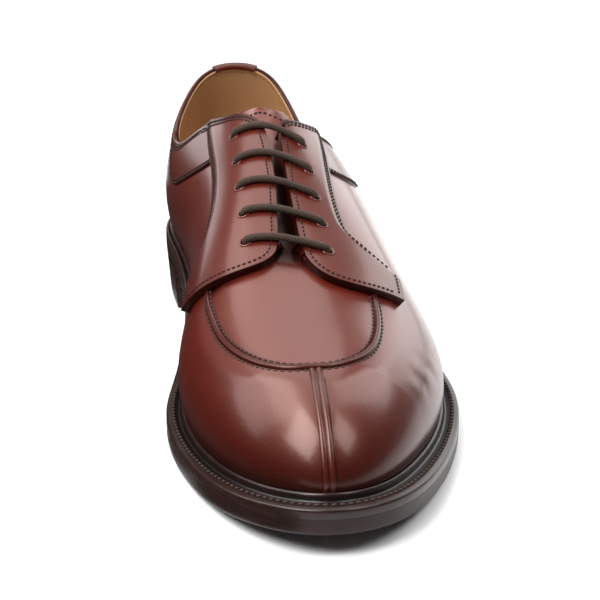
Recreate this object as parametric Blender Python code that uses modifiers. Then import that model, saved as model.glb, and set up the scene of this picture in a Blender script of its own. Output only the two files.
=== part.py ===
"""Derby shoe for the left foot, built round one last.

Every piece is worked out from the same last: a plan outline of the sole, a table of
cross-sections along the foot and a table of collar heights. Lengths are in millimetres in a
working frame: x to the outer side, s from the back of the heel to the toe, z up from the
floor. The meshes are in metres with the toe towards -Y.
"""
import math

import bmesh
import bpy
import numpy as np
from mathutils import Matrix, Vector

MM = 0.001

# Driving sizes of the bottom
HEEL_HEIGHT = 20.0
HEEL_LENGTH = 76.0
HEEL_TAPER = 1.6
OUTSOLE_THICKNESS = 6.1
WELT_THICKNESS = 3.4
RIB_WIDTH = 3.0
RIB_HEIGHT = 3.0
RIB_ROUND = 0.8
MIN_SHELF = 0.6
INSOLE_THICKNESS = 3.0
ARCH_END = 188.0
SPRING_START = 222.0
TOE_SPRING = 8.0
OUTSOLE_LENGTH = 308.0

# Driving sizes of the upper
WALL = 2.2
FACING_THICKNESS = 1.9
TONGUE_THICKNESS = 2.0
GAP = 0.3
TONGUE_GAP = 0.6
TONGUE_FALL = 1.2
TONGUE_SWEEP = 11.0
THROAT_END = 186.0
SLOT_HALF_WIDTH = 3.4
TONGUE_HALF_WIDTH = 23.0
TONGUE_TOP = 106.5
TONGUE_FRONT = 199.0
HEEL_BACK_EXPONENT = 1.5

# Driving sizes of the lacing
LACE_DIAMETER = 3.2
EYELET_DIAMETER = 4.8
EYELET_FROM_RIDGE = 15.5
LACE_DIP = 1.2
LACE_CLEARANCE = 0.5
LACE_TURN = 2.2
LACE_TURN_STEPS = 4
LACE_FLAT_STEPS = 9
EYELET_SIDES = 12
PIN_SPARE = 2.0

# Mesh resolution
DENSE = 1440
STATION_COUNT = 29
TOE_FAN = 15
HEEL_FAN = 13
HEEL_SIDE_POINTS = 16
UPPER_ROWS = 12
HEIGHT_SAMPLES = 160
SHARP_ANGLE = math.radians(40)
TONGUE_COLUMNS = 13
TONGUE_ROWS = 14

# Plan outline of the outsole: x, s, going round by the inner side to the toe
OUTLINE = np.array([
    (-17.5, 0.0),
    (-41.0, 8.0),
    (-52.5, 36.0),
    (-49.5, 80.0),
    (-46.5, 125.0),
    (-51.5, 170.0),
    (-56.5, 208.0),
    (-51.0, 250.0),
    (-34.0, 289.0),
    (-8.0, 308.0),
    (17.0, 299.5),
    (38.5, 267.0),
    (51.5, 230.0),
    (56.0, 195.0),
    (49.5, 150.0),
    (36.0, 105.0),
    (22.0, 65.0),
    (17.0, 36.0),
    (6.5, 8.0),
])

# Width of the welt from the sole edge to the upper: s, width
WELT_WIDTH = np.array([
    (0.0, 3.4),
    (40.0, 3.4),
    (120.0, 4.5),
    (170.0, 6.5),
    (215.0, 7.6),
    (250.0, 8.6),
    (285.0, 10.6),
    (308.0, 11.5),
])

# Cross-sections of the last. The walls are powers of a cosine: below 1 is full, above 1 leans in.
# The tilt drops the outer side of the instep and lifts the inner side.
SECTIONS = {
    "s":            [38.0, 60.0, 80.0, 110.0, 140.0, 160.0, 180.0, 200.0, 220.0, 240.0, 258.0],
    "ridge_x":      [-17.5, -15.5, -13.5, -11.0, -9.0, -8.3, -8.2, -8.0, -7.0, -6.2, -6.0],
    "crown":        [142.0, 129.0, 118.0, 103.0, 91.0, 83.0, 74.0, 65.0, 58.0, 53.0, 49.0],
    "wall_inner":   [2.6, 2.6, 2.0, 1.2, 0.95, 0.88, 0.83, 0.81, 0.80, 0.80, 0.80],
    "wall_outer":   [2.4, 2.0, 1.5, 1.1, 1.0, 0.94, 0.88, 0.84, 0.82, 0.80, 0.80],
    "bulge_inner":  [5.2, 5.5, 5.0, 3.5, 3.5, 3.5, 3.8, 4.0, 3.6, 3.2, 3.0],
    "bulge_outer":  [4.4, 5.2, 6.5, 5.0, 2.0, 1.2, 1.8, 2.6, 3.0, 2.8, 2.5],
    "tilt":         [0.0, 0.06, 0.18, 0.28, 0.26, 0.25, 0.22, 0.16, 0.10, 0.05, 0.02],
}
HEEL_PIVOT = SECTIONS["s"][0]
TOE_PIVOT = SECTIONS["s"][-1]

# Height of the topline on each side
COLLAR = {
    "s":      [0.0, 8.0, 20.0, 40.0, 62.0, 84.0, 100.0, 112.0, 120.0],
    "inner":  [101.0, 98.5, 86.5, 75.0, 75.0, 88.0, 93.8, 98.0, 101.0],
    "outer":  [101.0, 98.5, 86.5, 76.0, 73.5, 79.0, 86.5, 93.0, 97.8],
}

# Outline of a facing as rows from its lower edge to its top. Each row runs from the throat edge
# to the outer edge, by s and by the distance over the leather from the ridge. The bow pushes
# the middle of the row towards the toe.
FACING = {
    "s_throat":   [190.0, 183.0, 176.0, 164.0, 148.0, 130.0, 115.0],
    "w_throat":   [5.0, 4.2, 4.2, 4.2, 4.2, 4.2, 4.4],
    "s_inner":    [190.0, 171.0, 168.0, 160.0, 145.0, 124.0, 103.0],
    "w_inner":    [52.0, 53.0, 42.0, 33.5, 31.0, 31.0, 32.0],
    "s_outer":    [203.0, 184.0, 181.0, 173.0, 156.0, 131.0, 104.0],
    "w_outer":    [45.0, 46.0, 34.0, 26.0, 24.0, 26.0, 31.0],
    "bow":        [9.0, 4.0, 2.0, 1.0, 0.0, 0.0, 1.0],
}
FACING_COLUMNS = 9
TOPLINE_SEARCH = (70.0, 130.0)
TOPLINE_PRECISION = 0.01

# Eyelets from the top pair to the lowest, by s on the inner and the outer side
EYELETS = {
    "s_inner":  [126.5, 144.5, 161.0, 177.0, 191.5],
    "s_outer":  [132.0, 149.5, 165.0, 179.5, 194.0],
}

# Finishes: linear colour and roughness
FINISHES = {
    "outsole_leather":  ((0.035, 0.016, 0.012), 0.45),
    "heel_leather":     ((0.035, 0.016, 0.012), 0.45),
    "welt_leather":     ((0.045, 0.020, 0.015), 0.40),
    "insole_leather":   ((0.40, 0.22, 0.09), 0.60),
    "upper_calf":       ((0.16, 0.025, 0.015), 0.25),
    "facing_calf":      ((0.17, 0.028, 0.016), 0.25),
    "tongue_calf":      ((0.15, 0.024, 0.015), 0.30),
    "lace_cord":        ((0.05, 0.035, 0.028), 0.70),
}


def natural_cubic(xs, ys, x, slope=False):
    """Natural cubic through the rows, straight beyond its ends."""
    xs = np.asarray(xs, float)
    ys = np.asarray(ys, float)
    step = np.diff(xs)
    matrix = np.eye(len(xs))
    right = np.zeros(len(xs))
    for i in range(1, len(xs) - 1):
        matrix[i, i - 1:i + 2] = step[i - 1], 2 * (step[i - 1] + step[i]), step[i]
        right[i] = 6 * ((ys[i + 1] - ys[i]) / step[i] - (ys[i] - ys[i - 1]) / step[i - 1])
    bend = np.linalg.solve(matrix, right)
    x = np.asarray(x, float)
    inside = np.clip(x, xs[0], xs[-1])
    i = np.clip(np.searchsorted(xs, inside) - 1, 0, len(xs) - 2)
    p = (inside - xs[i]) / step[i]
    q = 1 - p
    rate = (ys[i + 1] - ys[i]) / step[i]
    rate = rate + ((3 * p**2 - 1) * bend[i + 1] - (3 * q**2 - 1) * bend[i]) * step[i] / 6
    if slope:
        return rate
    value = q * ys[i] + p * ys[i + 1]
    value = value + ((q**3 - q) * bend[i] + (p**3 - p) * bend[i + 1]) * step[i]**2 / 6
    return value + rate * (x - inside)


def closed_curve(points, count):
    """Smooth closed curve through plan points."""
    ring = np.vstack([points, points[:1]])
    chords = np.sqrt(np.linalg.norm(np.diff(ring, axis=0), axis=1))
    knots = np.concatenate([[0.0], np.cumsum(chords)])
    length = knots[-1]
    thrice = np.concatenate([knots[:-1] - length, knots[:-1], knots[:-1] + length])
    rows = np.vstack([points] * 3)
    u = np.linspace(0, length, count, endpoint=False)
    return np.stack([natural_cubic(thrice, rows[:, 0], u), natural_cubic(thrice, rows[:, 1], u)], 1)


SOLE_EDGE = closed_curve(OUTLINE, DENSE)
CENTRE = (SOLE_EDGE.min(axis=0) + SOLE_EDGE.max(axis=0)) / 2


def inset_outline(extra=0.0, share=0.0):
    """Sole outline moved in by a share of the welt's width and an extra distance."""
    along = np.roll(SOLE_EDGE, -1, axis=0) - np.roll(SOLE_EDGE, 1, axis=0)
    along /= np.linalg.norm(along, axis=1)[:, None]
    inward = np.stack([along[:, 1], -along[:, 0]], 1)
    if np.sum((SOLE_EDGE - CENTRE) * inward) > 0:
        inward = -inward
    width = natural_cubic(WELT_WIDTH[:, 0], WELT_WIDTH[:, 1], SOLE_EDGE[:, 1])
    return SOLE_EDGE + inward * (share * width + extra)[:, None]


def section(column, s):
    """One column of the section table at a distance along the foot."""
    return natural_cubic(SECTIONS["s"], SECTIONS[column], s)


def sole_bottom(s):
    """Underside of the outsole: heel seat, arch, flat tread and toe spring."""
    climb = np.clip((ARCH_END - s) / (ARCH_END - HEEL_LENGTH), 0, 1)
    spring = np.clip((s - SPRING_START) / (OUTSOLE_LENGTH - SPRING_START), 0, None)
    return HEEL_HEIGHT * climb**2 * (3 - 2 * climb) + TOE_SPRING * spring**2


def outsole_top(s):
    return sole_bottom(s) + OUTSOLE_THICKNESS


def welt_top(s):
    return outsole_top(s) + WELT_THICKNESS


def make_columns():
    """Rays that fan out from the spine: each has a station and a plan direction."""
    stations = []
    angles = []
    last = STATION_COUNT - 1
    for k in range(STATION_COUNT):
        stations.append(k)
        angles.append(0.0)
    for k in range(1, TOE_FAN + 1):
        stations.append(last)
        angles.append(math.pi * k / (TOE_FAN + 1))
    for k in range(STATION_COUNT):
        stations.append(last - k)
        angles.append(math.pi)
    for k in range(1, HEEL_FAN + 1):
        stations.append(0)
        angles.append(math.pi * (1 + k / (HEEL_FAN + 1)))
    angles = np.array(angles)
    return np.array(stations), np.stack([-np.cos(angles), np.sin(angles)], 1)


STATION_S = np.linspace(HEEL_PIVOT, TOE_PIVOT, STATION_COUNT)
SPINE = np.stack([section("ridge_x", STATION_S), STATION_S], 1)
COLUMN_STATION, COLUMN_WAY = make_columns()
COLUMN_PIVOT = SPINE[COLUMN_STATION]


def ring(outline):
    """Where each column's ray leaves a plan outline."""
    ahead = np.roll(outline, -1, axis=0)
    found = []
    for pivot, way in zip(COLUMN_PIVOT, COLUMN_WAY):
        here = outline - pivot
        there = ahead - pivot
        left = here[:, 0] * way[1] - here[:, 1] * way[0]
        right = there[:, 0] * way[1] - there[:, 1] * way[0]
        hits = np.nonzero((left * right <= 0) & (here @ way > 0) & (left != right))[0]
        share = left[hits] / (left[hits] - right[hits])
        points = outline[hits] + (ahead - outline)[hits] * share[:, None]
        found.append(points[np.argmax((points - pivot) @ way)])
    return np.array(found)


FEATHER = ring(inset_outline(share=1.0))


def skin(feather, angle):
    """Outer surface of the last above feather points, by wall angle: 0 at the sole, pi/2 at the ridge."""
    pivot_s = np.clip(feather[:, 1], HEEL_PIVOT, TOE_PIVOT)
    pivot_x = section("ridge_x", pivot_s)
    reach = np.hypot(feather[:, 0] - pivot_x, feather[:, 1] - pivot_s)
    way_x = (feather[:, 0] - pivot_x) / reach
    way_s = (feather[:, 1] - pivot_s) / reach
    outer = (1 + way_x) / 2
    power = section("wall_inner", pivot_s) * (1 - outer) + section("wall_outer", pivot_s) * outer
    power = np.where(way_s < 0, power + (HEEL_BACK_EXPONENT - power) * way_s**2, power)
    bulge = section("bulge_inner", pivot_s) * (1 - outer) + section("bulge_outer", pivot_s) * outer
    lift = np.sin(angle)
    lean = np.maximum(np.cos(angle), 0.0)
    # The bulge peaks at one third of the height with the value of the table.
    out = reach * lean**power + bulge * 27 / 4 * lift * (1 - lift)**2
    crown = section("crown", pivot_s)
    fall = natural_cubic(SECTIONS["s"], SECTIONS["crown"], pivot_s, slope=True) * way_s
    base = welt_top(feather[:, 1])
    z = crown + fall * out - (crown + fall * reach - base) * (1 - lift)
    z = z - section("tilt", pivot_s) * way_x * out * lift**2
    return np.stack([pivot_x + way_x * out, pivot_s + way_s * out, z], 1)


ANGLES = np.linspace(0, math.pi / 2, HEIGHT_SAMPLES)


def column_profile(feather_point):
    """The whole wall of one column, from the sole to the ridge."""
    return skin(np.repeat(feather_point[None], HEIGHT_SAMPLES, axis=0), ANGLES)


def first_crossing(values):
    """Wall angle at which a sampled value first turns from negative to positive."""
    after = int(np.argmax(values > 0))
    before = max(after - 1, 0)
    span = values[after] - values[before]
    share = -values[before] / span if span else 0.0
    return ANGLES[before] + (ANGLES[after] - ANGLES[before]) * share


def side_feather(s, side):
    """Feather point of the inner (-1) or the outer (+1) side at a distance along the foot."""
    edge = inset_outline(share=1.0)
    keep = edge[side * (edge[:, 0] - section("ridge_x", edge[:, 1])) > 0]
    keep = keep[np.argsort(keep[:, 1])]
    return np.stack([np.interp(s, keep[:, 1], keep[:, 0]), s], -1)


def on_last(s, w):
    """Point of the last at a distance w over the leather from the ridge, outer side positive."""
    side = 1 if w >= 0 else -1
    profile = column_profile(side_feather(np.float64(s), side))[::-1]
    run = np.concatenate([[0.0], np.cumsum(np.linalg.norm(np.diff(profile, axis=0), axis=1))])
    return np.array([np.interp(abs(w), run, profile[:, i]) for i in range(3)])


def off_last(s, w, height):
    """Point above the last along its normal."""
    step = 0.5
    along = on_last(s + step, w) - on_last(s - step, w)
    across = on_last(s, w + step) - on_last(s, w - step)
    normal = np.cross(across, along)
    normal /= np.linalg.norm(normal)
    return on_last(s, w) + normal * height * np.sign(normal[2])


def placed(points):
    """Working millimetres to metres in the shoe's frame."""
    points = np.asarray(points, float)
    x = points[:, 0] - CENTRE[0]
    y = CENTRE[1] - points[:, 1]
    return np.stack([x, y, points[:, 2]], 1) * MM


def make_collection(name):
    collection = bpy.data.collections.new(name)
    bpy.context.scene.collection.children.link(collection)
    return collection


def make_material(name):
    colour, roughness = FINISHES[name]
    material = bpy.data.materials.new(name)
    material.use_nodes = True
    shader = material.node_tree.nodes["Principled BSDF"]
    shader.inputs["Base Color"].default_value = (*colour, 1.0)
    shader.inputs["Roughness"].default_value = roughness
    shader.inputs["Metallic"].default_value = 0.0
    return material


def make_object(name, points, faces, collection, material):
    """Mesh object from working points, with its faces turned the same way."""
    mesh = bpy.data.meshes.new(name)
    mesh.from_pydata(placed(points).tolist(), [], faces)
    shape = bmesh.new()
    shape.from_mesh(mesh)
    bmesh.ops.recalc_face_normals(shape, faces=shape.faces)
    shape.to_mesh(mesh)
    shape.free()
    mesh.shade_smooth()
    mesh.set_sharp_from_angle(angle=SHARP_ANGLE)
    mesh.materials.append(material)
    made = bpy.data.objects.new(name, mesh)
    collection.objects.link(made)
    return made


def band(lower, upper, count):
    """Quads between two closed rings of vertices, given by their first index."""
    faces = []
    for c in range(count):
        after = (c + 1) % count
        faces.append((lower + c, lower + after, upper + after, upper + c))
    return faces


def spine_cap(edge, spine, count):
    """Quads and triangles from a ring of columns to the vertices of the spine."""
    faces = []
    for c in range(count):
        after = (c + 1) % count
        here = spine + int(COLUMN_STATION[c])
        there = spine + int(COLUMN_STATION[after])
        if here == there:
            faces.append((edge + c, edge + after, here))
        else:
            faces.append((edge + c, edge + after, there, here))
    return faces


def slab(name, outline, low, high, collection, material):
    """Plate with a plan outline between two height functions of s."""
    edge = ring(outline)
    count = len(edge)
    halfway = COLUMN_PIVOT + (edge - COLUMN_PIVOT) * 0.5
    points = []
    for height in (low, high):
        for plan in (edge, halfway, SPINE):
            points.append(np.column_stack([plan, height(plan[:, 1])]))
    level = 2 * count + len(SPINE)
    faces = band(0, level, count)
    for start in (0, level):
        faces += band(start, start + count, count)
        faces += spine_cap(start + count, start + 2 * count, count)
    return make_object(name, np.vstack(points), faces, collection, material)


def make_outsole(collection, material):
    """Sole of one thickness that follows the arch and the toe spring."""
    return slab("outsole", SOLE_EDGE, sole_bottom, outsole_top, collection, material)


def make_insole(collection, material):
    """Footbed on the outsole, inside the upper's wall."""
    def low(s):
        return outsole_top(s) + GAP

    def high(s):
        return low(s) + INSOLE_THICKNESS

    outline = inset_outline(share=1.0, extra=WALL + 2 * GAP)
    return slab("insole", outline, low, high, collection, material)


def rear_outline(outline):
    """Part of a plan outline behind the heel breast, from the outer side round to the inner side."""
    points = []
    for side in (1, -1):
        half = outline[side * (outline[:, 0] - OUTLINE[0, 0]) >= 0]
        half = half[half[:, 1] < ARCH_END]
        half = half[np.argsort(half[:, 1])]
        s = HEEL_LENGTH * np.sin(np.linspace(0, math.pi / 2, HEEL_SIDE_POINTS))**2
        x = np.interp(s, half[:, 1], half[:, 0])
        run = np.stack([x, np.maximum(s, half[0, 1])], 1)
        points.append(run[::-1] if side > 0 else run[1:])
    return np.vstack(points)


def make_heel(collection, material):
    """Straight-sided block under the heel seat with a slight taper and a flat breast."""
    top = rear_outline(SOLE_EDGE)
    bottom = rear_outline(inset_outline(extra=HEEL_TAPER))
    count = len(top)
    height = HEEL_HEIGHT - GAP
    points = [(x, s, 0.0) for x, s in bottom] + [(x, s, height) for x, s in top]
    faces = band(0, count, count)
    faces.append(tuple(range(count)))
    faces.append(tuple(range(count, 2 * count)))
    return make_object("heel", points, faces, collection, material)


RIB_ANGLE = np.array([
    first_crossing(column_profile(f)[:, 2] - welt_top(f[1]) - RIB_HEIGHT) for f in FEATHER
])


def beside_upper(angle):
    """Points one gap outside the upper's wall, in plan."""
    wall = skin(FEATHER, angle)
    feather_out = ring(inset_outline(share=1.0, extra=-GAP))
    return wall[:, :2] + (feather_out - FEATHER)


def make_welt(collection, material):
    """Strip round the shoe with a raised rib against the upper."""
    inner = beside_upper(np.zeros(len(FEATHER)))
    rib_inner = beside_upper(RIB_ANGLE)
    rib_foot = ring(inset_outline(share=1.0, extra=-GAP - RIB_WIDTH))
    edge = ring(SOLE_EDGE)
    # Where the welt is narrow the rib still leaves a small shelf.
    reach = np.linalg.norm(edge - COLUMN_PIVOT, axis=1)
    foot = np.minimum(np.linalg.norm(rib_foot - COLUMN_PIVOT, axis=1), reach - MIN_SHELF)
    rib_foot = COLUMN_PIVOT + COLUMN_WAY * foot[:, None]
    rib_outer = rib_foot - COLUMN_WAY * RIB_ROUND
    base = welt_top(edge[:, 1])
    inner_base = welt_top(FEATHER[:, 1])
    profile = [
        np.column_stack([inner, outsole_top(FEATHER[:, 1]) + GAP]),
        np.column_stack([edge, outsole_top(edge[:, 1]) + GAP]),
        np.column_stack([edge, base]),
        np.column_stack([rib_foot, welt_top(rib_foot[:, 1])]),
        np.column_stack([rib_outer, welt_top(rib_outer[:, 1]) + RIB_HEIGHT - RIB_ROUND]),
        np.column_stack([(rib_outer + rib_inner) / 2, inner_base + RIB_HEIGHT]),
        np.column_stack([rib_inner, inner_base + RIB_HEIGHT - RIB_ROUND / 2]),
        np.column_stack([inner, inner_base]),
    ]
    count = len(edge)
    faces = []
    for j in range(len(profile)):
        faces += band(j * count, (j + 1) % len(profile) * count, count)
    return make_object("welt", np.vstack(profile), faces, collection, material)


def cut_angle(column):
    """Wall angle at which a column ends: at the topline, at the throat slot or at the ridge."""
    s = STATION_S[COLUMN_STATION[column]]
    if COLUMN_WAY[column, 1] > 0 and s == TOE_PIVOT or s >= THROAT_END:
        return math.pi / 2
    profile = column_profile(FEATHER[column])
    away = np.linalg.norm(profile[:, :2] - COLUMN_PIVOT[column], axis=1)
    outer = COLUMN_WAY[column, 0] > 0
    line = natural_cubic(COLLAR["s"], COLLAR["outer" if outer else "inner"], profile[:, 1])
    above = np.maximum(profile[:, 2] - line, SLOT_HALF_WIDTH - away)
    return first_crossing(above)


def make_upper(collection, material):
    """One wall over the last, open at the collar, along the throat and underneath."""
    count = len(FEATHER)
    cut = np.array([cut_angle(c) for c in range(count)])
    foot = np.column_stack([FEATHER, outsole_top(FEATHER[:, 1]) + GAP])
    rows = [foot, skin(FEATHER, np.zeros(count)), skin(FEATHER, RIB_ANGLE)]
    for k in range(1, UPPER_ROWS + 1):
        rows.append(skin(FEATHER, RIB_ANGLE + (cut - RIB_ANGLE) * k / UPPER_ROWS))
    points = np.vstack(rows)
    last_row = (len(rows) - 1) * count
    # Columns that reach the ridge share one vertex for each station.
    top = np.arange(count)
    for c in np.nonzero(cut == math.pi / 2)[0]:
        top[c] = np.nonzero(COLUMN_STATION == COLUMN_STATION[c])[0][0]
    top = (top + last_row).tolist()
    faces = []
    for j in range(len(rows) - 2):
        faces += band(j * count, (j + 1) * count, count)
    below = last_row - count
    for c in range(count):
        after = (c + 1) % count
        corners = [below + c, below + after, top[after], top[c]]
        faces.append(tuple(dict.fromkeys(corners)))
    used = sorted({i for face in faces for i in face})
    renumber = {old: new for new, old in enumerate(used)}
    faces = [tuple(renumber[i] for i in face) for face in faces]
    made = make_object("upper", points[used], faces, collection, material)
    wall = made.modifiers.new("wall", "SOLIDIFY")
    wall.thickness = WALL * MM
    wall.offset = -1.0
    wall.use_even_offset = True
    return made


def make_patch(name, rows, thickness, offset, collection, material):
    """Sheet that follows the last: rows of (s, w, height off it), given a thickness."""
    points = [off_last(s, w, height) for row in rows for s, w, height in row]
    across = len(rows[0])
    faces = []
    for j in range(len(rows) - 1):
        for i in range(across - 1):
            a = j * across + i
            faces.append((a, a + 1, a + across + 1, a + across))
    made = make_object(name, points, faces, collection, material)
    # The sheet's faces look outwards, away from the foot.
    if sum(p.normal.z for p in made.data.polygons) < 0:
        made.data.flip_normals()
    wall = made.modifiers.new("wall", "SOLIDIFY")
    wall.thickness = thickness * MM
    wall.offset = offset
    wall.use_even_offset = True
    return made


def topline_s(w):
    """Distance along the foot at which the topline passes a distance w from the ridge."""
    low, high = TOPLINE_SEARCH
    heights = COLLAR["outer" if w > 0 else "inner"]
    while high - low > TOPLINE_PRECISION:
        middle = (low + high) / 2
        cut_away = on_last(middle, w)[2] > natural_cubic(COLLAR["s"], heights, middle)
        low, high = (middle, high) if cut_away else (low, middle)
    return high


def facing_row(side, j):
    """One row of a facing from the throat edge to the outer edge."""
    name = "outer" if side > 0 else "inner"
    t = np.linspace(0, 1, FACING_COLUMNS)
    s = FACING["s_throat"][j] * (1 - t) + FACING["s_" + name][j] * t
    s = s + FACING["bow"][j] * 4 * t * (1 - t)
    w = side * (FACING["w_throat"][j] * (1 - t) + FACING["w_" + name][j] * t)
    # The top row lies on the topline.
    if j == len(FACING["bow"]) - 1:
        s = np.array([topline_s(each) for each in w])
    return np.stack([s, w], 1)


def make_facing(side, collection, material):
    """Eyelet facing of one side, sewn on top of the upper."""
    table = [facing_row(side, j) for j in range(len(FACING["bow"]))]
    rows = []
    for here, above in zip(table[:-1], table[1:]):
        rows += [here, (here + above) / 2]
    rows.append(table[-1])
    lifted = [[(s, w, GAP) for s, w in row] for row in rows]
    title = "facing_lateral" if side > 0 else "facing_medial"
    return make_patch(title, lifted, FACING_THICKNESS, 1.0, collection, material)


def make_tongue(collection, material):
    """Flap under the throat, from just past the throat's end to above the facings."""
    across = np.linspace(-TONGUE_HALF_WIDTH, TONGUE_HALF_WIDTH, TONGUE_COLUMNS)
    rows = []
    for s in np.linspace(TONGUE_FRONT, TONGUE_TOP, TONGUE_ROWS):
        up = (TONGUE_FRONT - s) / (TONGUE_FRONT - TONGUE_TOP)
        height = -WALL - TONGUE_GAP - TONGUE_FALL * up
        # The top edge sweeps back at both sides.
        sweep = TONGUE_SWEEP * up**4
        rows.append([(s - sweep * (w / TONGUE_HALF_WIDTH)**2, w, height) for w in across])
    return make_patch("tongue", rows, TONGUE_THICKNESS, -1.0, collection, material)


def lace_path(s_inner, s_outer):
    """Centre line of one bar: out of the inner eyelet, over the throat and into the outer one."""
    ride = GAP + FACING_THICKNESS + LACE_CLEARANCE + LACE_DIAMETER / 2
    sink = GAP + FACING_THICKNESS - LACE_DIP
    edge = EYELET_FROM_RIDGE
    turn = [(edge, sink)]
    for k in range(1, LACE_TURN_STEPS + 1):
        bend = math.pi / 2 * k / LACE_TURN_STEPS
        inward = LACE_TURN * (1 - math.cos(bend))
        turn.append((edge - inward, ride - LACE_TURN * (1 - math.sin(bend))))
    flat = np.linspace(edge - LACE_TURN, -edge + LACE_TURN, LACE_FLAT_STEPS)[1:-1]
    route = turn + [(w, ride) for w in flat] + [(-w, height) for w, height in reversed(turn)]
    points = []
    for w, height in route[::-1]:
        share = (w + edge) / (2 * edge)
        points.append(off_last(s_inner + (s_outer - s_inner) * share, w, height))
    return placed(points)


def make_lace_bar(number, collection, material):
    points = lace_path(EYELETS["s_inner"][number], EYELETS["s_outer"][number])
    name = f"lace_bar_{number + 1}"
    curve = bpy.data.curves.new(name, "CURVE")
    curve.dimensions = "3D"
    curve.bevel_depth = LACE_DIAMETER / 2 * MM
    curve.bevel_resolution = 2
    curve.use_fill_caps = True
    curve.materials.append(material)
    line = curve.splines.new("POLY")
    line.points.add(len(points) - 1)
    for point, place in zip(line.points, points):
        point.co = (*place, 1.0)
    made = bpy.data.objects.new(name, curve)
    collection.objects.link(made)
    return made


def make_eyelet_cutter(side, collection):
    """Five short round pins through a facing and the wall under it."""
    name = "outer" if side > 0 else "inner"
    shape = bmesh.new()
    reach = WALL + PIN_SPARE
    proud = GAP + FACING_THICKNESS + PIN_SPARE
    for s in EYELETS["s_" + name]:
        low, high = placed([off_last(s, side * EYELET_FROM_RIDGE, h) for h in (-reach, proud)])
        axis = (high - low) / np.linalg.norm(high - low)
        turn = Vector(axis).to_track_quat("Z", "Y").to_matrix().to_4x4()
        spot = Matrix.Translation(Vector((low + high) / 2)) @ turn
        bmesh.ops.create_cone(
            shape,
            cap_ends=True,
            segments=EYELET_SIDES,
            radius1=EYELET_DIAMETER / 2 * MM,
            radius2=EYELET_DIAMETER / 2 * MM,
            depth=float(np.linalg.norm(high - low)),
            matrix=spot,
        )
    mesh = bpy.data.meshes.new("eyelets_" + name)
    shape.to_mesh(mesh)
    shape.free()
    cutter = bpy.data.objects.new("eyelets_" + name, mesh)
    cutter.hide_render = True
    cutter.display_type = "WIRE"
    collection.objects.link(cutter)
    return cutter


def punch(target, cutter):
    cut = target.modifiers.new("eyelets", "BOOLEAN")
    cut.operation = "DIFFERENCE"
    cut.solver = "EXACT"
    cut.object = cutter


def main():
    for old in list(bpy.data.objects):
        bpy.data.objects.remove(old, do_unlink=True)
    shoe = make_collection("derby_shoe")
    cutters = make_collection("cutters")
    make_outsole(shoe, make_material("outsole_leather"))
    make_heel(shoe, make_material("heel_leather"))
    make_welt(shoe, make_material("welt_leather"))
    make_insole(shoe, make_material("insole_leather"))
    upper = make_upper(shoe, make_material("upper_calf"))
    facing_calf = make_material("facing_calf")
    for side in (-1, 1):
        cutter = make_eyelet_cutter(side, cutters)
        punch(upper, cutter)
        punch(make_facing(side, shoe, facing_calf), cutter)
    make_tongue(shoe, make_material("tongue_calf"))
    cord = make_material("lace_cord")
    for number in range(len(EYELETS["s_inner"])):
        make_lace_bar(number, shoe, cord)


main()
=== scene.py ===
"""Looks of a left derby shoe: polished calf over one last, sewn, laced and welted, on a white floor.

Lengths are in millimetres: x to the outer side, s from the back of the heel to the toe, z up.
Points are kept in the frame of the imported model, with the toe towards -Y, and meshes in metres.
"""
import math

import bpy
import numpy as np
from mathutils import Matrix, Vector
from mathutils.bvhtree import BVHTree
from mathutils.kdtree import KDTree


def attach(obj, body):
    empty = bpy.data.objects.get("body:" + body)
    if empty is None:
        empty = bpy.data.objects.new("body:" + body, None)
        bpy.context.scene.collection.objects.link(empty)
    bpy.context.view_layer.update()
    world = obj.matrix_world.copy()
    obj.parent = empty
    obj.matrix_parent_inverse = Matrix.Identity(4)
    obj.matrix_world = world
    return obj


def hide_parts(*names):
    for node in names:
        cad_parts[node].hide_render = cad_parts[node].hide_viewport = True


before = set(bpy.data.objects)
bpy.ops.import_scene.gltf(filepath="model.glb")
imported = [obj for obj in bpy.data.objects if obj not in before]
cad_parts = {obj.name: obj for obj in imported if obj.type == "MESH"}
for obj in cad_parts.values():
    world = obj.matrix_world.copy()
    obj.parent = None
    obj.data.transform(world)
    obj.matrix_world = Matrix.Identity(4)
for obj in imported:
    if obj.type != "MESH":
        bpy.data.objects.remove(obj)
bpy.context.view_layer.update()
bpy.ops.object.select_all(action="DESELECT")


# Studio
# A white paper floor, one wide soft box overhead, a wall of soft light behind on the right and a
# dim left side. The camera stands where the photograph's stood and is turned to this shoe.
MM = 0.001
EYE = Vector((-59.2, -598.3, 257.5)) * MM
AIM = Vector((0.0, 0.0, 32.0)) * MM
LENS = 94.0
PAPER_WHITE = "#f9f9f9"


def linear(code):
    """sRGB hex colour as linear red, green, blue and alpha."""
    parts = [int(code[i:i + 2], 16) / 255 for i in (1, 3, 5)]
    return [p / 12.92 if p <= 0.04045 else ((p + 0.055) / 1.055)**2.4 for p in parts] + [1.0]


def add_node(tree, kind, values=(), links=(), **settings):
    """One shader node with its settings, its values and what feeds it."""
    made = tree.nodes.new("ShaderNode" + kind)
    for name, value in settings.items():
        setattr(made, name, value)
    for socket, value in dict(values).items():
        made.inputs[socket].default_value = value
    for socket, source in dict(links).items():
        tree.links.new(source, made.inputs[socket])
    return made


def new_material(name, surface):
    """Principled material with its constant values; gives the material, its nodes and its shader."""
    material = bpy.data.materials.new(name)
    material.use_nodes = True
    shader = material.node_tree.nodes["Principled BSDF"]
    for socket, value in surface.items():
        shader.inputs[socket].default_value = value
    return material, material.node_tree, shader


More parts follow.
